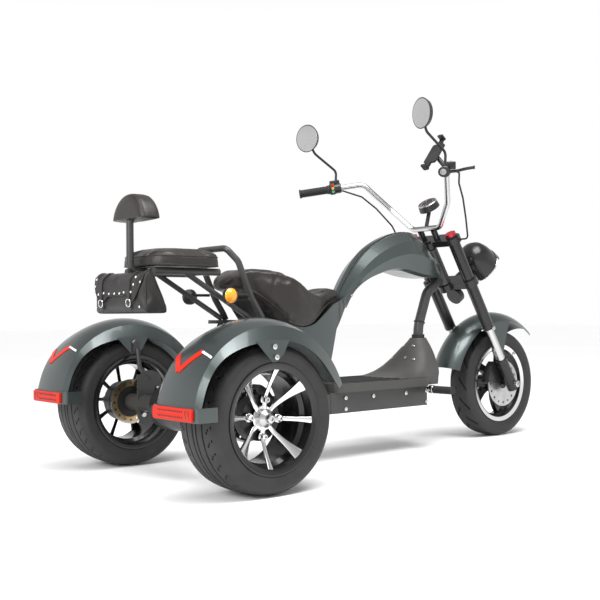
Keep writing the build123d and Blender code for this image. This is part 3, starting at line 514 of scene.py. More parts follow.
def model_bolt(radius, height, corners):
    """A screw head or nut along Z: sloped rim, flat top and a sunk middle."""
    deselect()
    bpy.ops.mesh.primitive_cylinder_add(
        vertices=corners, radius=radius, depth=height, location=(0, 0, height / 2)
    )
    head = bpy.context.active_object
    bpy.ops.object.transform_apply(location=True)
    bpy.ops.object.mode_set(mode="EDIT")
    pick_faces(head, looks_up)
    for inset, rise in head_steps:
        bpy.ops.mesh.inset(thickness=radius * inset, depth=height * rise)
    bpy.ops.object.mode_set(mode="OBJECT")
    return head


def model_stud(radius):
    """A domed stud along Z."""
    deselect()
    bpy.ops.mesh.primitive_uv_sphere_add(segments=14, ring_count=8, radius=radius)
    stud = bpy.context.active_object
    bpy.ops.object.mode_set(mode="EDIT")
    bpy.ops.mesh.select_all(action="SELECT")
    bpy.ops.mesh.bisect(plane_co=(0, 0, 0), plane_no=(0, 0, 1), clear_inner=True, use_fill=True)
    bpy.ops.mesh.select_all(action="SELECT")
    bpy.ops.transform.resize(value=(1, 1, 0.6))
    bpy.ops.object.mode_set(mode="OBJECT")
    return stud


def join_pieces(name, pieces):
    """Joins like pieces into one."""
    deselect()
    for piece in pieces:
        piece.select_set(True)
    bpy.context.view_layer.objects.active = pieces[0]
    if len(pieces) > 1:
        bpy.ops.object.join()
    return name_piece(pieces[0], name)


def put_bolts(name, body, slot, spots, axis, radius, height, corners=12, made=None):
    """A row of equal screw heads or nuts, joined into one piece."""
    heads = []
    for number, at in enumerate(spots):
        heads.append(place(model_bolt(radius, height, corners), f"{name}_{number}", at, axis))
    return dress(join_pieces(name, heads), body, slot, made)


def put_screw_on(name, carrier, point, radius, height, sunk):
    """A chrome screw head set a little into the nearest surface of a chassis piece."""
    co, normal = carrier.closest_point_on_mesh(point)[1:3]
    put_bolts(name, "chassis", "chrome", [co - normal * sunk], normal, radius, height)


def spin_section(name, origin, axis, section, steps):
    """A turned piece: a closed section of (radius, reach along the axis) points spun round the axis."""
    across = axis.orthogonal().normalized()
    deselect()
    bpy.ops.mesh.primitive_circle_add(vertices=len(section), radius=1)
    piece = name_piece(bpy.context.active_object, name)
    for vertex, (radius, reach) in zip(piece.data.vertices, section):
        vertex.co = origin + across * radius + axis * reach
    bpy.ops.object.mode_set(mode="EDIT")
    bpy.ops.mesh.select_all(action="SELECT")
    bpy.ops.mesh.spin(steps=steps, angle=2 * pi, center=origin, axis=axis)
    bpy.ops.object.mode_set(mode="OBJECT")
    return close_up(piece, merge_gap)


def make_ring(name, origin, axis, inner, outer, length, body, slot, steps=40):
    """A ring or sleeve with broken edges."""
    edge = min(outer - inner, length) * 0.25
    section = [
        (inner, 0), (outer - edge, 0), (outer, edge), (outer, length - edge), (outer - edge, length),
        (inner, length),
    ]
    return dress(spin_section(name, origin, axis, section, steps), body, slot)


def lie_on(carrier, point, lift):
    """The nearest point of a carrier's surface, lifted off it."""
    co, normal = carrier.closest_point_on_mesh(point)[1:3]
    return co + normal * lift


def lay_patch(name, carrier, columns, rows, point_at, slot, lift, thickness, made=None, levels=1):
    """A thin patch on a chassis piece. point_at gives a point near it for two shares from 0 to 1."""
    patch = start_grid(name, columns, rows)
    for vertex in patch.data.vertices:
        vertex.co = lie_on(carrier, point_at((vertex.co.x + 1) / 2, (vertex.co.y + 1) / 2), lift)
    close_up(patch)
    add_modifier(patch, "SOLIDIFY", thickness=thickness, offset=0.0)
    if levels:
        add_modifier(patch, "SUBSURF", levels=levels, render_levels=levels)
    return dress(patch, "chassis", slot, made)


def along(points, share):
    """The point at a share of the way through a row of points."""
    place_in = share * (len(points) - 1)
    first = min(int(place_in), len(points) - 2)
    return points[first].lerp(points[first + 1], place_in - first)


def line_trim(name, points, radius, closed=False):
    """A thin round trim along a smooth line, as a mesh."""
    line = bpy.data.curves.new(name, "CURVE")
    line.dimensions = "3D"
    line.bevel_depth = radius
    line.bevel_resolution = 2
    line.use_fill_caps = True
    spline = line.splines.new("NURBS")
    spline.points.add(len(points) - 1)
    for point, co in zip(spline.points, points):
        point.co = (*co, 1)
    spline.order_u = 3
    spline.use_endpoint_u = not closed
    spline.use_cyclic_u = closed
    trim = bpy.data.objects.new(name, line)
    bpy.context.collection.objects.link(trim)
    take(trim)
    bpy.ops.object.convert(target="MESH")
    return bpy.context.active_object


def lay_line(name, carrier, points, slot, radius, lift, closed=False, made=None):
    """A piping or cord edge that follows the surface of a chassis piece."""
    laid = [lie_on(carrier, point, lift) for point in points]
    return dress(line_trim(name, laid, radius, closed), "chassis", slot, made)


# Seats and bag: the solid is drawn in a little, remeshed, and blown up as cloth
pad_draw_in = 0.004
pad_rest = 0.012  # how much of a pad is held by what it rests on
bag_rest = 0.01


def blow_up(piece, held, cap, pressure=4.0, last_frame=20):
    """Swells a closed pad as cloth, keeping the held points, and caps how far a point moves."""
    rest = [vertex.co.copy() for vertex in piece.data.vertices]
    group = piece.vertex_groups.new(name="held")
    group.add([i for i, co in enumerate(rest) if held(co)], 1.0, "REPLACE")
    take(piece)
    cloth = piece.modifiers.new("blow_up", "CLOTH")
    cloth.settings.use_pressure = True
    cloth.settings.uniform_pressure_force = pressure
    cloth.settings.effector_weights.gravity = 0
    cloth.settings.vertex_group_mass = group.name
    cloth.point_cache.frame_end = last_frame
    for step in range(1, last_frame + 1):
        bpy.context.scene.frame_set(step)
    bpy.ops.object.modifier_apply(modifier=cloth.name)
    bpy.context.scene.frame_set(1)
    for vertex, start in zip(piece.data.vertices, rest):
        moved = vertex.co - start
        if moved.length > cap:
            vertex.co = start + moved.normalized() * cap


def make_pad(node, name, slot, held, voxel, cap):
    """A stuffed piece of the chassis in place of its CAD solid."""
    pad = bpy.data.objects.new(name, nodes[node].data.copy())
    bpy.context.collection.objects.link(pad)
    close_up(pad, solid_merge_gap)
    add_modifier(pad, "DISPLACE", strength=-pad_draw_in, mid_level=0.0)
    pad.data.remesh_voxel_size = voxel
    take(pad)
    bpy.ops.object.voxel_remesh()
    add_modifier(pad, "SMOOTH", iterations=8, factor=0.5)
    blow_up(pad, held, cap)
    add_modifier(pad, "SMOOTH", iterations=3, factor=0.5)
    add_modifier(pad, "SUBSURF", levels=1, render_levels=1)
    dress(pad, "chassis", slot, angle=180)
    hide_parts(node)
    return pad


pad_low, pad_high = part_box("passenger_pad")
back_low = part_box("backrest_pad")[0]
bag_low, bag_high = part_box("tool_bag")
pad_seam = pad_low.z + 0.36 * (pad_high.z - pad_low.z)
saddle_skin = make_pad("saddle", "saddle_skin", "leather", lambda co: False, voxel=0.006, cap=0.006)
passenger_cushion = make_pad(
    "passenger_pad", "passenger_cushion", "leather",
    lambda co: co.z < pad_low.z + pad_rest or abs(co.z - pad_seam) < 0.004, voxel=0.005, cap=0.009,
)
backrest_cushion = make_pad(
    "backrest_pad", "backrest_cushion", "leather",
    lambda co: co.x < back_low.x + pad_rest, voxel=0.005, cap=0.008,
)
bag_body = make_pad(
    "tool_bag", "bag_body", "bag_leather",
    lambda co: co.x > bag_high.x - bag_rest or co.z < bag_low.z + pad_rest, voxel=0.006, cap=0.009,
)

# Saddle piping along the lower edge and a seam on each crest: reach, half width, height
saddle_hem = (
    (676, 44, 598), (600, 76, 576), (540, 106, 550), (480, 132, 520), (420, 148, 500),
    (370, 146, 506), (315, 134, 540), (262, 116, 586), (212, 92, 622), (160, 62, 634),
)
saddle_tail = (133, 0, 640)
saddle_crest = (
    (655, 30, 626), (600, 44, 616), (545, 56, 608), (495, 70, 616), (440, 84, 640),
    (390, 92, 664), (330, 92, 682), (260, 86, 688), (200, 72, 680), (160, 46, 664),
)
hem = [spot(x, -y, z) for x, y, z in saddle_hem] + [spot(*saddle_tail)]
hem += [spot(x, y, z) for x, y, z in reversed(saddle_hem)]
lay_line("saddle_piping", saddle_skin, hem, "leather", radius=0.003, lift=0.0005)
for side, out in sides:
    seam = [spot(x, out * y, z) for x, y, z in saddle_crest]
    lay_line(f"saddle_seam_{side}", saddle_skin, seam, "leather", radius=0.0014, lift=0.0002)


# Piping of the passenger pad and the backrest
def round_loop(low, high, height, inset, corner, count=8):
    """Points round a rectangle with round corners, at one height."""
    points = []
    corners = ((high.x, high.y), (low.x, high.y), (low.x, low.y), (high.x, low.y))
    for quarter, (x, y) in enumerate(corners):
        middle_x = x - inset - corner if x == high.x else x + inset + corner
        middle_y = y - inset - corner if y == high.y else y + inset + corner
        for step in range(count):
            angle = radians(90 * quarter + 90 * step / (count - 1))
            points.append(Vector((middle_x + corner * cos(angle), middle_y + corner * sin(angle), height)))
    return points


for name, height in (("pad_lower_piping", pad_low.z + 0.006), ("pad_upper_piping", pad_seam + 0.016)):
    loop = round_loop(pad_low, pad_high, height, inset=0.002, corner=0.066)
    lay_line(name, passenger_cushion, loop, "leather", radius=0.0022, lift=0.0004, closed=True)
backrest_foot = 842
# side and height above the backrest's foot
backrest_rim = (
    (90, 6), (99, 20), (92, 50), (66, 76), (30, 87), (-30, 87), (-66, 76), (-92, 50), (-99, 20), (-90, 6),
)
for name, reach in (("backrest_front_piping", -152), ("backrest_rear_piping", -206)):
    rim_line = [spot(reach, y, backrest_foot + z) for y, z in backrest_rim]
    lay_line(name, backrest_cushion, rim_line, "leather", radius=0.002, lift=0.0003, closed=True)

# Bag: flap over the top and back with its piping, straps with buckles, studs and end piping
bag_back = -250
bag_end_side = 160
flap_top = (spot(-206, 0, 686), spot(-222, 0, 688), spot(-238, 0, 680), spot(-247, 0, 660))
flap_half = 159
flap_middle_half = 58  # half width of the flap's straight middle
flap_middle_height = 600
flap_lobe = 90  # side of the flap's lowest points
flap_dip = 20
flap_end_rise = 92
flap_end_run = 70
flap_shares = (
    0.0, 0.02, 0.06, 0.11, 0.16, 0.21, 0.26, 0.32, 0.4, 0.5, 0.6, 0.68, 0.74, 0.79, 0.84, 0.89, 0.94, 0.98,
    1.0,
)
strap_half = 9
strap_sides = (95, -80)
buckle_corners = ((-13, 588), (13, 588), (13, 566), (-13, 566))
# side and height of each stud
stud_spots = (
    (-113, 659), (-107, 633), (-92, 610), (-49, 610), (-21, 607), (11, 607), (45, 607), (79, 610),
    (115, 606), (140, 633), (136, 657), (-136, 563), (136, 563), (-142, 640), (142, 612),
)
# reach and height round the bag's ends
bag_end = (
    (-160, 548), (-168, 590), (-184, 635), (-204, 676), (-226, 674), (-239, 652), (-241, 600), (-236, 548),
)
stud_metal = coated(
    "stud_metal", grey(0.7), grey(0.6), (0.18, 0.3), patch_scale=200.0, relief=0.05, metallic=1.0
)


def flap_edge(side):
    """The height in millimetres of the flap's lower edge at a side of the bag."""
    reach = abs(side)
    if reach < flap_middle_half:
        return flap_middle_height
    if reach < flap_lobe:
        share = (reach - flap_middle_half) / (flap_lobe - flap_middle_half)
        return flap_middle_height - flap_dip * sin(share * pi / 2)
    return flap_middle_height - flap_dip + flap_end_rise * ((reach - flap_lobe) / flap_end_run) ** 2


def flap_point(across_share, down_share):
    """A point of the flap, from one end of the bag to the other and from its top to its edge."""
    side = flap_half * (2 * across_share - 1)
    foot = Vector((spot(bag_back, 0, 0).x, 0, flap_edge(side) / 1000))
    fall = [flap_top[-1].lerp(foot, share) for share in (0.33, 0.66, 1.0)]
    point = along([*flap_top, *fall], down_share)
    return Vector((point.x, side / 1000, point.z))


lay_patch("bag_flap", bag_body, 40, 14, flap_point, "bag_leather", lift=0.0028, thickness=0.003)
edge_line = [flap_point(share, 1.0) for share in flap_shares]
lay_line("bag_flap_piping", bag_body, edge_line, "bag_leather", radius=0.0022, lift=0.0042)
for number, side in enumerate(strap_sides):
    run = [*flap_top, spot(bag_back, 0, 610), spot(bag_back, 0, 575), spot(bag_back, 0, 548)]

    def strap_point(down_share, across_share, run=run, side=side):
        point = along(run, down_share)
        return Vector((point.x, (side + strap_half * (2 * across_share - 1)) / 1000, point.z))

    lay_patch(
        f"bag_strap_{number}", bag_body, 28, 3, strap_point, "bag_leather", lift=0.006, thickness=0.0026
    )
    buckle = [spot(bag_back, side + y, z) for y, z in buckle_corners]
    lay_line(
        f"bag_buckle_{number}", bag_body, buckle, "bag_leather", radius=0.0017, lift=0.0078, closed=True,
        made=stud_metal,
    )
studs = []
for number, (side, height) in enumerate(stud_spots):
    seat = lie_on(bag_body, spot(bag_back, side, height), 0.0034)
    studs.append(place(model_stud(0.0042), f"bag_stud_{number}", seat, backwards))
dress(join_pieces("bag_studs", studs), "chassis", "bag_leather", stud_metal)
for side, out in sides:
    outline = [spot(x, out * bag_end_side, z) for x, z in bag_end]
    lay_line(
        f"bag_end_piping_{side}", bag_body, outline, "bag_leather", radius=0.0024, lift=0.0006, closed=True
    )

# Tyres: a section spun round the axle, then cut with grooves
crown_share = 0.8  # of a tyre's width
crown_fall = 0.006
groove_depth = 0.005


def tyre_section(radius, half, rim_half, columns):
    """Points (radius, side) round half a tyre's section, from the crown's middle to the bead."""
    crown_half = crown_share * half
    middle = (radius + rim_lip_radius) / 2
    crown = []
    for column in range(columns + 1):
        side = crown_half * column / columns
        crown.append((radius - crown_fall * (side / crown_half) ** 2, side))
    wall = [
        (radius - 0.012, half * 0.9),
        (radius - 0.021, half - 0.002),
        (middle + 0.006, half),
        (middle - 0.008, half - 0.0015),
        (rim_lip_radius + 0.009, half - 0.005),
        (rim_lip_radius + 0.0045, rim_half - 0.0005),
        (rim_lip_radius + 0.001, rim_half - 0.0035),
        (rim_lip_radius - 0.012, rim_half - 0.0056),
    ]
    return crown + wall


def make_tyre(wheel, axle, half, rim_half, columns, steps, grooved):
    """A tyre with its tread. grooved(column, step) says which faces of the crown are sunk."""
    radius = axle.z
    crown_half = crown_share * half
    half_section = tyre_section(radius, half, rim_half, columns)
    section = [(r, -s) for r, s in reversed(half_section[1:])] + half_section
    tyre = spin_section(f"{wheel}_tread", axle, left, section, steps)
    bpy.ops.object.mode_set(mode="EDIT")

    def is_groove(middle, normal):
        reach = middle - axle
        flat = Vector((reach.x, reach.z))
        if abs(reach.y) > crown_half or flat.length < radius - 0.02:
            return False
        column = int(abs(reach.y) / crown_half * columns)
        angle = flat.angle_signed(Vector((1, 0))) % (2 * pi)
        return grooved(column if reach.y > 0 else -column - 1, int(angle / (2 * pi) * steps))

    pick_faces(tyre, is_groove)
    bpy.ops.mesh.inset(thickness=0.0008, depth=-groove_depth, use_even_offset=True)
    bpy.ops.object.mode_set(mode="OBJECT")
    dress(tyre, f"{wheel}_wheel", "tyre", angle=40)
    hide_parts(f"{wheel}_tyre")


def rear_groove(column, step):
    """Four grooves round the tyre and short sipes on the shoulders."""
    lane = column if column >= 0 else -column - 1
    if lane in (1, 6):
        return True
    return lane >= 9 and (step + lane // 3) % 5 == 0 and lane != 11


def front_groove(column, step):
    """Slanted slashes that lean away from the middle."""
    lane = column if column >= 0 else -column - 1
    shift = lane if column >= 0 else lane + 6
    return 1 <= lane <= 7 and (step - shift) % 12 in (0, 1)


for side, axle in rear_axles.items():
    make_tyre(f"rear_{side}", axle, half=0.097, rim_half=0.092, columns=13, steps=180, grooved=rear_groove)
make_tyre("front", front_axle, half=0.055, rim_half=0.046, columns=8, steps=192, grooved=front_groove)

# Rear rims: a turned barrel, and eight slim spokes with curved flanks that climb out of the dish to its lip
lug_circle = 0.055
dish_floor = 0.034
dish_climb = 0.05
dish_start = 0.05
dish_reach = 0.099
spoke_root = 0.02
spoke_tip = 0.151
spoke_thickness = 0.011
spoke_crown = 0.0015
first_spoke = radians(-5)
spoke_turns = [first_spoke + radians(45 * turn) for turn in range(8)]
lug_turns = spoke_turns[::2]
# half width at the root, the waist and the tip
spoke_widths = {"narrow": (0.009, 0.0042, 0.0085), "flared": (0.007, 0.0065, 0.019)}
# radius and side of the barrel's section, from the lip's edge to its middle, outside and then inside
barrel_outside = [(0.167, 0.092), (0.167, 0.087), (0.152, 0.087), (0.152, 0.045), (0.14, 0.035)]
barrel_inside = [(0.134, 0.039), (0.146, 0.049), (0.146, 0.085), (0.152, 0.0895), (0.162, 0.092)]
hub_pad = [
    (0.0278, 0.02), (0.036, 0.02), (0.0385, 0.0225), (0.0385, 0.0315), (0.036, 0.034), (0.0278, 0.034),
]
lug_boss = [
    (0.0066, 0.02), (0.0125, 0.02), (0.014, 0.0215), (0.014, 0.0325), (0.0125, 0.034), (0.0066, 0.034),
]
hub_nut_seat = 0.0595
barrel_alloy = black_alloy("rear_barrel_alloy")


def dish_height(radius):
    """How far the spokes' faces stand out from the wheel's middle at a radius."""
    return dish_floor + dish_climb * (max(radius - dish_start, 0) / dish_reach) ** 1.25


def model_spoke(kind, axle, out):
    """A spoke that points ahead from the axle, with a crowned face."""
    root, waist, tip = spoke_widths[kind]
    spoke = start_grid(f"{kind}_spoke", 26, 6)
    for vertex in spoke.data.vertices:
        run, across = (vertex.co.x + 1) / 2, vertex.co.y
        radius = spoke_root + run * (spoke_tip - spoke_root)
        half = root * (1 - run) * (1 - 2 * run) + 4 * waist * run * (1 - run) + tip * run * (2 * run - 1)
        side = dish_height(radius) + spoke_crown * (1 - across * across) - spoke_thickness / 2
        vertex.co = axle + Vector((radius, out * side, half * across))
    add_modifier(spoke, "SOLIDIFY", thickness=spoke_thickness, offset=0.0)
    return add_modifier(
        spoke, "BEVEL", width=0.0012, segments=2, limit_method="ANGLE", angle_limit=radians(50)
    )


def turn_copy(piece, name, axle, angle):
    """A copy of a piece, with its own mesh, turned round an axle."""
    copy = bpy.data.objects.new(name, piece.data.copy())
    bpy.context.collection.objects.link(copy)
    turn = Matrix.Rotation(-angle, 4, "Y")
    copy.data.transform(Matrix.Translation(axle) @ turn @ Matrix.Translation(-axle))
    return copy


def make_rear_rim(side, out):
    """Barrel, spokes with the hub pad and the lug bosses, wheel nuts and hub nut of one rear wheel."""
    axle = rear_axles[side]
    wheel = f"rear_{side}_wheel"
    outwards = Vector((0, out, 0))
    outer_half = barrel_outside + [(r, -s) for r, s in reversed(barrel_outside)]
    inner_half = [(r, -s) for r, s in reversed(barrel_inside)] + barrel_inside
    barrel = spin_section(f"rear_{side}_barrel", axle, outwards, outer_half + inner_half, 96)
    dress(barrel, wheel, "alloy", barrel_alloy)
    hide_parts(f"rear_{side}_rim")
    models = {kind: model_spoke(kind, axle, out) for kind in spoke_widths}
    pieces = []
    for number, angle in enumerate(spoke_turns):
        kind = "flared" if number % 2 else "narrow"
        pieces.append(turn_copy(models[kind], f"spoke_{number}", axle, angle))
    for model in models.values():
        bpy.data.objects.remove(model)
    pieces.append(spin_section("hub_pad", axle, outwards, hub_pad, 64))
    seats = [axle + Vector((lug_circle * cos(angle), 0, lug_circle * sin(angle))) for angle in lug_turns]
    for seat in seats:
        pieces.append(spin_section("lug_boss", seat, outwards, lug_boss, 28))
    spokes = join_pieces(f"rear_{side}_spokes", pieces)
    alloy = make_rim_finish(f"rear_{side}_spoke_alloy", axle, 0.0, 0.2, (0, out, 0), 0.45)
    dress(spokes, wheel, "alloy", alloy)
    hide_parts(f"rear_{side}_rim")
    nut_seats = [seat + outwards * dish_floor for seat in seats]
    put_bolts(f"rear_{side}_nuts", wheel, "chrome", nut_seats, outwards, 0.0105, 0.013, 6)
    hub_seat = axle + outwards * hub_nut_seat
    put_bolts(f"rear_{side}_hub_nut", wheel, "chrome", [hub_seat], outwards, 0.0135, 0.013, 8)


for side, out in sides:
    make_rear_rim(side, out)

# Rear mudguards: red and white markers on the back of the crown, tab bolts
white_marker = coated("white_marker", (0.75, 0.75, 0.76, 1), (0.7, 0.7, 0.71, 1), (0.25, 0.35), relief=0.05)
marker_radius = 0.32  # from the axle, outside the guard, so that a stripe settles on its outer face
arm_width = 0.02
slash_width = 0.007
# places in millimetres of the marker's apex, the ends of its two arms and the end of the white slash
marker_points = {
    "right": ((-258, -368, 378), (-228, -312, 424), (-217, -433, 432), (-222, -489, 417)),
    "left": ((-257, 452, 376), (-228, 492, 424), (-221, 378, 429), (-225, 319, 417)),
}
crown_way = Vector((-0.8, 0, 0.6))
guard_half = 0.116
tab_bolts = ((-24, 444), (-17, 413))
for side, out in sides:
    guard = nodes[f"rear_{side}_guard"]
    apex, first, second, slash = [spot(*point) for point in marker_points[side]]
    for name, start, end, width, made in (
        ("in", apex, first, arm_width, None),
        ("out", apex, second, arm_width, None),
        ("slash", second, slash, slash_width, white_marker),
    ):
        across = (end - start).cross(crown_way).normalized() * width / 2

        def stripe_point(run, width_share, start=start, end=end, across=across, axle=rear_axles[side]):
            point = start.lerp(end, run) + across * (2 * width_share - 1)
            spread = Vector((point.x - axle.x, 0, point.z - axle.z))
            return point + spread.normalized() * (marker_radius - spread.length)

        lay_patch(
            f"marker_{side}_{name}", guard, 16, 2, stripe_point, "lamp_red", lift=0.001, thickness=0.0018,
            made=made, levels=0,
        )
    for face in (1, -1):
        surface = rear_axles[side].y + face * guard_half
        seats = [Vector((spot(x, 0, 0).x, surface, z / 1000)) for x, z in tab_bolts]
        outwards = Vector((0, face, 0))
        put_bolts(f"tab_bolts_{side}_{face + 1}", "chassis", "chrome", seats, outwards, 0.0085, 0.006)

# Tail lamps: two rows of small lights and two bars at the outer end
dark_lens = coated(
    "dark_red_lens", (0.1, 0.003, 0.002, 1), (0.13, 0.004, 0.003, 1), (0.15, 0.22),
    relief=0.05, coat_weight=0.5,
)
lamp_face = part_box("tail_lamps")[0].x
light_heights = (0.2525, 0.2685)
first_light = -0.072
light_pitch = 0.0094
bar_reaches = (0.068, 0.083)
bar_middle = 0.2605
for side, out in sides:
    middle = rear_axles[side].y
    lights = []
    for height in light_heights:
        for column in range(14):
            reach = first_light + light_pitch * column
            lights.append(Vector((lamp_face, middle + out * reach, height)))
    put_bolts(f"lamp_lights_{side}", "chassis", "lamp_red", lights, backwards, 0.003, 0.0014, 8, dark_lens)
    bars = []
    for number, reach in enumerate(bar_reaches):
        bar = model_block((0.0024, 0.0045, 0.026), edge=0.0008, segments=2)
        at = Vector((lamp_face, middle + out * reach, bar_middle))
        bars.append(place(bar, f"lamp_bar_{number}", at, up))
    dress(join_pieces(f"lamp_bars_{side}", bars), "chassis", "lamp_red", dark_lens)

# Toe cover: sweeps up from the deck to the down tube
toe_top_x = 1140
toe_top = 436
# height, reach behind and ahead of the tube, half width, and squareness of the plan
toe_rows = (
    (262, 276, 18, 131, 0.5), (285, 252, 22, 130, 0.5), (290, 224, 25, 128, 0.52), (302, 176, 29, 123, 0.56),
    (320, 137, 32, 115, 0.62), (342, 107, 34, 104, 0.7), (366, 85, 35, 88, 0.78), (392, 66, 35, 68, 0.85),
    (418, 46, 35, 44, 0.95), (toe_top, 33, 33, 33, 1.0),
)


def toe_row(share):
    """A row between the listed ones, on a smooth curve through them."""
    last = len(toe_rows) - 1
    run = share * last
    first = min(int(run), last - 1)
    t = run - first
    before, start, end, after = [toe_rows[max(0, min(last, first + step))] for step in (-1, 0, 1, 2)]
    return [
        0.5 * (2 * b + (c - a) * t + (2 * a - 5 * b + 4 * c - d) * t * t + (3 * b - a - 3 * c + d) * t ** 3)
        for a, b, c, d in zip(before, start, end, after)
    ]


def squared(value, power):
    """A cosine or sine pushed out towards a square."""
    return abs(value) ** power * (1 if value > 0 else -1)


toe_cover = start_grid("toe_cover", 72, 40)
for vertex in toe_cover.data.vertices:
    angle = pi * (vertex.co.x + 1)
    height, behind, ahead, half, power = toe_row((vertex.co.y + 1) / 2)
    reach = toe_top_x + (ahead - behind) / 2 + (ahead + behind) / 2 * squared(cos(angle), power)
    vertex.co = spot(reach, half * squared(sin(angle), power), height)
dress(close_up(toe_cover, merge_gap, fill=True), "chassis", "deck_plastic")

# Screws of the battery box and the toe cover, bolts of the fork, the mudguard and the axle plates
box_side = 122
guard_stay_side = 74
plate_side = 248
fork_half = 105
toe_screws = ((1085, -24, 405), (1050, -18, 354), (1050, -58, 353), (1085, 24, 405), (1050, 58, 353))
screw_rows = []
for side, out in sides:
    outwards = (0, out, 0)
    for x, z in ((619, 230), (760, 229), (935, 229), (1050, 232), (1050, 190), (619, 190)):
        screw_rows.append((f"box_screw_{side}", "chassis", (x, out * box_side, z), outwards, 0.0075, 0.004))
    for y in (81, 129):
        away = (0, out * (y - fork_half), 0)
        screw_rows.append((f"fork_bolt_{side}", "steering", (1462, out * y, 471), away, 0.0085, 0.006))
    for x, z in ((1545, 420), (1669, 356), (1560, 330)):
        at = (x, out * guard_stay_side, z)
        screw_rows.append((f"guard_bolt_{side}", "steering", at, outwards, 0.008, 0.005))
    axle_end = (1610, out * 129, 229.5)
    screw_rows.append((f"front_axle_nut_{side}", "steering", axle_end, outwards, 0.014, 0.012))
    for x, z in ((50, 278), (50, 200), (-8, 190)):
        at = (x, out * plate_side, z)
        screw_rows.append((f"plate_bolt_{side}", "chassis", at, (0, -out, 0), 0.01, 0.007))
for number, (name, body, at, axis, radius, height) in enumerate(screw_rows):
    put_bolts(f"{name}_{number}", body, "chrome", [spot(*at)], Vector(axis), radius, height)
for number, at in enumerate(toe_screws):
    put_screw_on(f"toe_screw_{number}", toe_cover, spot(*at), radius=0.0065, height=0.004, sunk=0.0006)

# Down tube: clip ring and the collar on the toe cover
down_line = Vector((0.28, 0, 0.96)).normalized()
clip_at = spot(1147.5, 0, 497)
make_ring("down_tube_clip", clip_at, down_line, 0.0195, 0.0232, 0.006, "chassis", "black_plastic")
make_ring("toe_collar", spot(toe_top_x, 0, toe_top), up, 0.0195, 0.026, 0.014, "chassis", "rubber")

# Foot pegs: ribbed rubber sleeves and chrome hinges
peg_x = 1072.3
peg_z = 236
peg_pitch = 0.008
sleeve = [(0.0128, 0.0)]
for row in range(11):
    start = peg_pitch * row
    sleeve += [(0.0152, start + 0.0005), (0.0152, start + 0.005)]
    sleeve += [(0.0138, start + 0.0056), (0.0138, start + 0.0078)]
sleeve += [(0.0158, 0.0885), (0.0158, 0.093), (0.0128, 0.0935)]
for side, out in sides:
    outwards = Vector((0, out, 0))
    sleeve_end = spot(peg_x, out * 149, peg_z)
    dress(spin_section(f"peg_sleeve_{side}", sleeve_end, outwards, sleeve, 32), "chassis", "rubber")
    hinge_end = spot(peg_x, out * 124, peg_z)
    make_ring(f"peg_hinge_{side}", hinge_end, outwards, 0.0102, 0.0165, 0.022, "chassis", "chrome", 24)

# Tank cover: raised ridge along the crest with a dark line on each side, and a screw on each flank
tank = nodes["tank_cover"]
ridge_width = 0.018
ridge_edge = 0.0135
crest_places = (
    (690, 604), (703, 629), (764, 712), (815, 762), (873, 805), (940, 838), (1009, 857), (1065, 856),
    (1111, 846), (1165, 812),
)
tank_crest = [spot(x, 0, z) for x, z in crest_places]


def ridge_point(run, across_share):
    return along(tank_crest, run) + Vector((0, ridge_width * (across_share - 0.5), 0))


lay_patch("tank_ridge", tank, 60, 4, ridge_point, "body_paint", lift=0.0016, thickness=0.0034)
for side, out in sides:
    ridge_side = [point + Vector((0, out * ridge_edge, -0.001)) for point in tank_crest]
    lay_line(f"tank_ridge_edge_{side}", tank, ridge_side, "black_plastic", radius=0.0012, lift=0.0004)
    flank = spot(735, out * 60, 600)
    put_screw_on(f"tank_screw_{side}", tank, flank, radius=0.006, height=0.004, sunk=0.0005)

# Bars: ribbed grips, and on each side a control collar, a fluid box with its screws and a ball-ended lever
bar_tip = {side: spot(850, out * 400, 1043) for side, out in sides}
bar_in = {side: (spot(1060, out * 232, 1083) - bar_tip[side]).normalized() for side, out in sides}
bar_ahead = {side: Vector((-bar_in[side].y, bar_in[side].x, 0)).normalized() * out for side, out in sides}
bar_up = {side: bar_in[side].cross(bar_ahead[side]) * out for side, out in sides}
bar_radius = 0.0114
grip_pitch = 0.0063
grip_ribs = [(bar_radius, -0.001), (0.0168, -0.001), (0.0186, 0.001), (0.0186, 0.006)]
for row in range(17):
    start = 0.008 + grip_pitch * row
    grip_ribs += [(0.0152, start), (0.0166, start + 0.0008)]
    grip_ribs += [(0.0166, start + 0.0045), (0.0152, start + 0.0055)]
grip_ribs += [(0.0178, 0.118), (0.0185, 0.12), (0.0185, 0.127), (0.0175, 0.1285), (bar_radius, 0.1285)]
collar_reach = 0.131
lever_reach = 0.154
box_offset = 0.022
box_lid = 0.0368


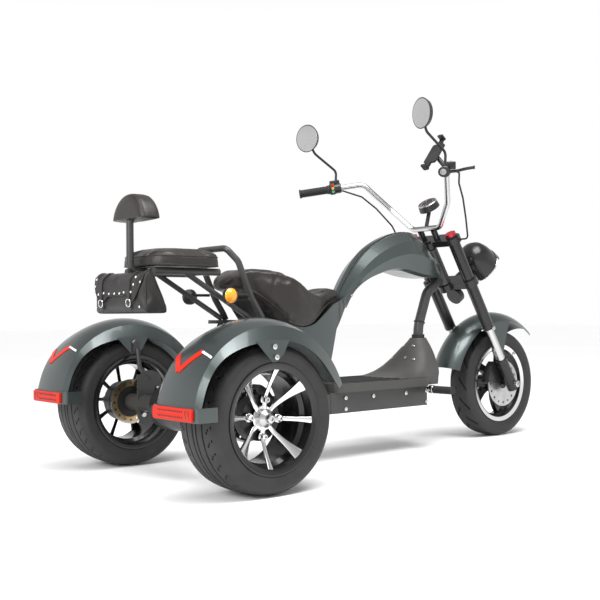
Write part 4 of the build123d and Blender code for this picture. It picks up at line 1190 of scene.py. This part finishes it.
def make_controls(side):
    """The grip and the controls at one end of the bars."""
    tip, inwards, ahead, above = bar_tip[side], bar_in[side], bar_ahead[side], bar_up[side]
    grip = spin_section(f"ribbed_grip_{side}", tip, inwards, grip_ribs, 40)
    dress(grip, "steering", "rubber")
    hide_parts("grips")
    root = tip + inwards * lever_reach
    collar_end = tip + inwards * collar_reach
    collar = make_ring(
        f"control_collar_{side}", collar_end, inwards, bar_radius, 0.021, 0.046, "steering", "black_metal"
    )
    fluid_box = model_block((0.036, 0.03, 0.042), edge=0.004, segments=3)
    box_middle = root + ahead * box_offset + above * box_offset
    place_by_axes(fluid_box, f"fluid_box_{side}", box_middle, (ahead, above, inwards))
    dress(fluid_box, "steering", "black_metal")
    lever_end = tip + inwards * 0.139 + ahead * 0.106 + above * 0.012
    blade = [root + ahead * 0.018, root + ahead * 0.04, root.lerp(lever_end, 0.7), lever_end]
    lever = dress(line_trim(f"lever_{side}", blade, 0.0058), "steering", "black_metal")
    ball = place(model_stud(0.0088), f"lever_ball_{side}", lever_end - ahead * 0.002, ahead)
    dress(ball, "steering", "black_metal")
    for piece in (collar, fluid_box, lever, ball):
        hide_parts("bar_controls")
    lid = root + ahead * box_offset + above * box_lid
    seats = [lid + inwards * reach for reach in (-0.014, 0.014)]
    put_bolts(f"fluid_box_screws_{side}", "steering", "chrome", seats, above, 0.0035, 0.0025)


for side, out in sides:
    make_controls(side)

# Switch block at the left grip, with three buttons
green_button = coated("green_button", (0.02, 0.32, 0.24, 1), (0.03, 0.38, 0.28, 1), (0.25, 0.35), relief=0.05)
switch_middle = bar_tip["left"] + bar_in["left"] * 0.141
switch_block = model_block((0.034, 0.046, 0.026), edge=0.006, segments=4)
dress(place(switch_block, "switch_block", switch_middle, bar_in["left"]), "steering", "black_plastic")
rear_face = -bar_ahead["left"]
for name, lift, made in (
    ("red", 0.014, finishes["lamp_red"]),
    ("amber", 0.0, finishes["lamp_amber"]),
    ("green", -0.014, green_button),
):
    at = switch_middle + rear_face * 0.0165 + bar_up["left"] * lift
    put_bolts(f"switch_{name}", "steering", "black_plastic", [at], rear_face, 0.0052, 0.006, 16, made)

# Headlight: bucket, glass, visor and bracket, with a bezel and a bowl
lamp_tilt = radians(30)
lamp_axis = Vector((cos(lamp_tilt), 0, -sin(lamp_tilt)))
lamp_radius = 0.076
lamp_back = spot(1512, 0, 765) - lamp_axis * 0.076
lamp_up = left.cross(lamp_axis) * -1
visor_half = radians(62)
visor_root = 0.112
bucket_section = [
    (0.0, 0.0), (0.028, 0.003), (0.05, 0.014), (0.066, 0.034), (0.074, 0.064), (lamp_radius, 0.1),
    (lamp_radius, 0.128), (0.0715, 0.128), (0.0705, 0.1135), (0.0, 0.113),
]
glass_section = [
    (0.0, 0.1145), (0.0695, 0.1145), (0.0695, 0.118), (0.06, 0.124), (0.04, 0.129), (0.02, 0.1315),
    (0.0, 0.132),
]
bowl_section = [
    (0.0, 0.1136), (0.064, 0.1138), (0.0685, 0.1142), (0.0685, 0.1139), (0.064, 0.1134), (0.0, 0.1132),
]
bucket = spin_section("headlight_bucket", lamp_back, lamp_axis, bucket_section, 72)
glass = spin_section("headlight_glass", lamp_back, lamp_axis, glass_section, 64)
dress(bucket, "steering", "black_metal")
dress(glass, "steering", "lamp_clear")
visor = start_grid("headlight_visor", 28, 6)
for vertex in visor.data.vertices:
    angle, run = vertex.co.x * visor_half, (vertex.co.y + 1) / 2
    reach = visor_root + run * (0.02 + 0.026 * cos(angle * 1.25))
    ray = lamp_up * cos(angle) + left * sin(angle)
    vertex.co = lamp_back + lamp_axis * reach + ray * (lamp_radius + 0.0012)
add_modifier(visor, "SOLIDIFY", thickness=0.0024, offset=0.0)
dress(visor, "steering", "black_metal")
bracket_line = [on_fork(30, 0, 510), on_fork(90, 0, 511), on_fork(128, 0, 516)]
bracket = dress(line_trim("headlight_bracket", bracket_line, 0.01), "steering", "black_metal")
for piece in (bucket, visor, bracket):
    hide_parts("headlight")
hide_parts("headlight_lens")
bezel_at = lamp_back + lamp_axis * 0.1235
make_ring("headlight_bezel", bezel_at, lamp_axis, 0.0695, 0.0775, 0.006, "steering", "chrome", 64)
dress(spin_section("headlight_bowl", lamp_back, lamp_axis, bowl_section, 48), "steering", "chrome")

# Dash: bezel, dial, marks and needle
bar_centre = on_fork(-11, 0, 776)
pod_line = Vector((0.266, 0, 0.964))
pod_axis = Vector((-0.55, 0, 0.83)).normalized()
pod_face = bar_centre + pod_line * 0.088 + pod_axis * 0.026
dial_section = [(0.0, 0.0002), (0.034, 0.0002), (0.034, 0.0016), (0.0, 0.0016)]
dial_right = Vector((0, -1, 0))
dial_up = pod_axis.cross(dial_right) * -1
mark_radius = 0.027
mark_lift = 0.0019
needle_lift = 0.0022
bezel_at = pod_face - pod_axis * 0.002
make_ring("dash_bezel", bezel_at, pod_axis, 0.0335, 0.0405, 0.005, "steering", "chrome", 48)
dress(spin_section("dash_dial", pod_face, pod_axis, dial_section, 48), "steering", "black_plastic")


def model_stroke(name, middle, ray, length, width):
    """A mark or needle that lies on the dial along a ray."""
    stroke = model_block((width, 0.0008, length), edge=0.0002, segments=1)
    return place_by_axes(stroke, name, middle, (ray.cross(pod_axis) * -1, pod_axis, ray))


strokes = []
for number in range(11):
    turn = radians(225 - 27 * number)
    ray = dial_right * cos(turn) + dial_up * sin(turn)
    middle = pod_face + ray * mark_radius + pod_axis * mark_lift
    strokes.append(model_stroke(f"dial_mark_{number}", middle, ray, length=0.0065, width=0.0013))
needle_middle = pod_face + (dial_right * -0.5 + dial_up * -0.3) * 0.018 + pod_axis * needle_lift
needle_ray = (dial_right * -0.86 + dial_up * -0.5).normalized()
needle = model_stroke("dial_needle", needle_middle, needle_ray, length=0.026, width=0.0016)
dress(needle, "steering", "black_plastic", finishes["lamp_red"])
dress(join_pieces("dial_marks", strokes), "steering", "black_plastic", white_marker)

# Horn ring and dome
horn_face = on_fork(-2, 0, 494.7) - fork_up * 0.046 + fork_ahead * 0.014
ring_at = horn_face - fork_ahead * 0.002
dome_at = horn_face - fork_ahead * 0.001
make_ring("horn_ring", ring_at, fork_ahead, 0.026, 0.034, 0.005, "steering", "chrome", 40)
make_ring("horn_dome", dome_at, fork_ahead, 0.0, 0.016, 0.006, "steering", "black_metal", 32)

# Mirror glass
for side, out in sides:
    back = Vector((0.96, out * 0.2, 0.05)).normalized()
    deselect()
    bpy.ops.mesh.primitive_cylinder_add(vertices=48, radius=0.0535, depth=0.002)
    pane = bpy.context.active_object
    bpy.ops.object.mode_set(mode="EDIT")
    pick_faces(pane, looks_up)
    bpy.ops.mesh.inset(thickness=0.003, depth=0.0008)
    bpy.ops.object.mode_set(mode="OBJECT")
    place(pane, f"mirror_glass_{side}", spot(825, out * 320, 1265), -back)
    dress(pane, "steering", "chrome")


# Floor, light and camera
def make_studio():
    """A pale floor, a room that is white round the walls and grey overhead, and soft lights."""
    deselect()
    bpy.ops.mesh.primitive_plane_add(size=60, location=(0, 0, 0))
    floor = bpy.context.active_object
    floor.name = "floor"
    pale = coated("pale_floor", grey(0.93), grey(0.95), (0.7, 0.8), patch_scale=0.5)
    floor.data.materials.append(pale)
    world = bpy.data.worlds.new("white_room")
    world.use_nodes = True
    tree = world.node_tree
    background = tree.nodes["Background"]
    way = add_node(tree, "ShaderNodeTexCoord").outputs["Generated"]
    rise = add_node(tree, "ShaderNodeSeparateXYZ", ((0, way),)).outputs["Z"]
    tree.links.new(ranged(tree, rise, 0.3, 0.65, 1.0, 0.4), background.inputs["Strength"])
    background.inputs["Color"].default_value = (1, 1, 1, 1)
    bpy.context.scene.world = world
    for name, kind, at, aim, spread, power in (
        ("top_light", "AREA", (-0.4, -1.2, 3.4), (0, 0, 0.4), 2.2, 120),
        ("side_light", "AREA", (-3.6, -0.8, 1.9), (-0.3, 0, 0.4), 1.4, 70),
        ("ceiling_light", "SUN", (-0.8, -1.1, 4.0), (0, 0, 0), radians(50), 1.7),
    ):
        light = bpy.data.lights.new(name, kind)
        setattr(light, "size" if kind == "AREA" else "angle", spread)
        light.energy = power
        lamp = bpy.data.objects.new(name, light)
        lamp.location = at
        lamp.rotation_euler = (Vector(aim) - Vector(at)).to_track_quat("-Z", "Y").to_euler()
        bpy.context.collection.objects.link(lamp)


def make_camera():
    """The photograph's viewpoint: its place, its heading and tilts in degrees, and its lens."""
    stand = Vector((-2.5314, -2.6953, 0.5388))
    heading, tilt, roll = radians(49.87), radians(0.81), radians(-0.5)
    ahead = Vector((cos(tilt) * cos(heading), cos(tilt) * sin(heading), sin(tilt)))
    level = ahead.cross(up).normalized()
    upright = level.cross(ahead)
    right = level * cos(roll) + upright * sin(roll)
    top = upright * cos(roll) - level * sin(roll)
    data = bpy.data.cameras.new("photo_camera")
    data.sensor_width = 36
    data.lens = 57.58
    camera = bpy.data.objects.new("photo_camera", data)
    camera.matrix_world = Matrix.Translation(stand) @ Matrix((right, top, -ahead)).transposed().to_4x4()
    bpy.context.collection.objects.link(camera)
    bpy.context.scene.camera = camera


make_studio()
make_camera()
bpy.context.scene.view_settings.view_transform = "Standard"
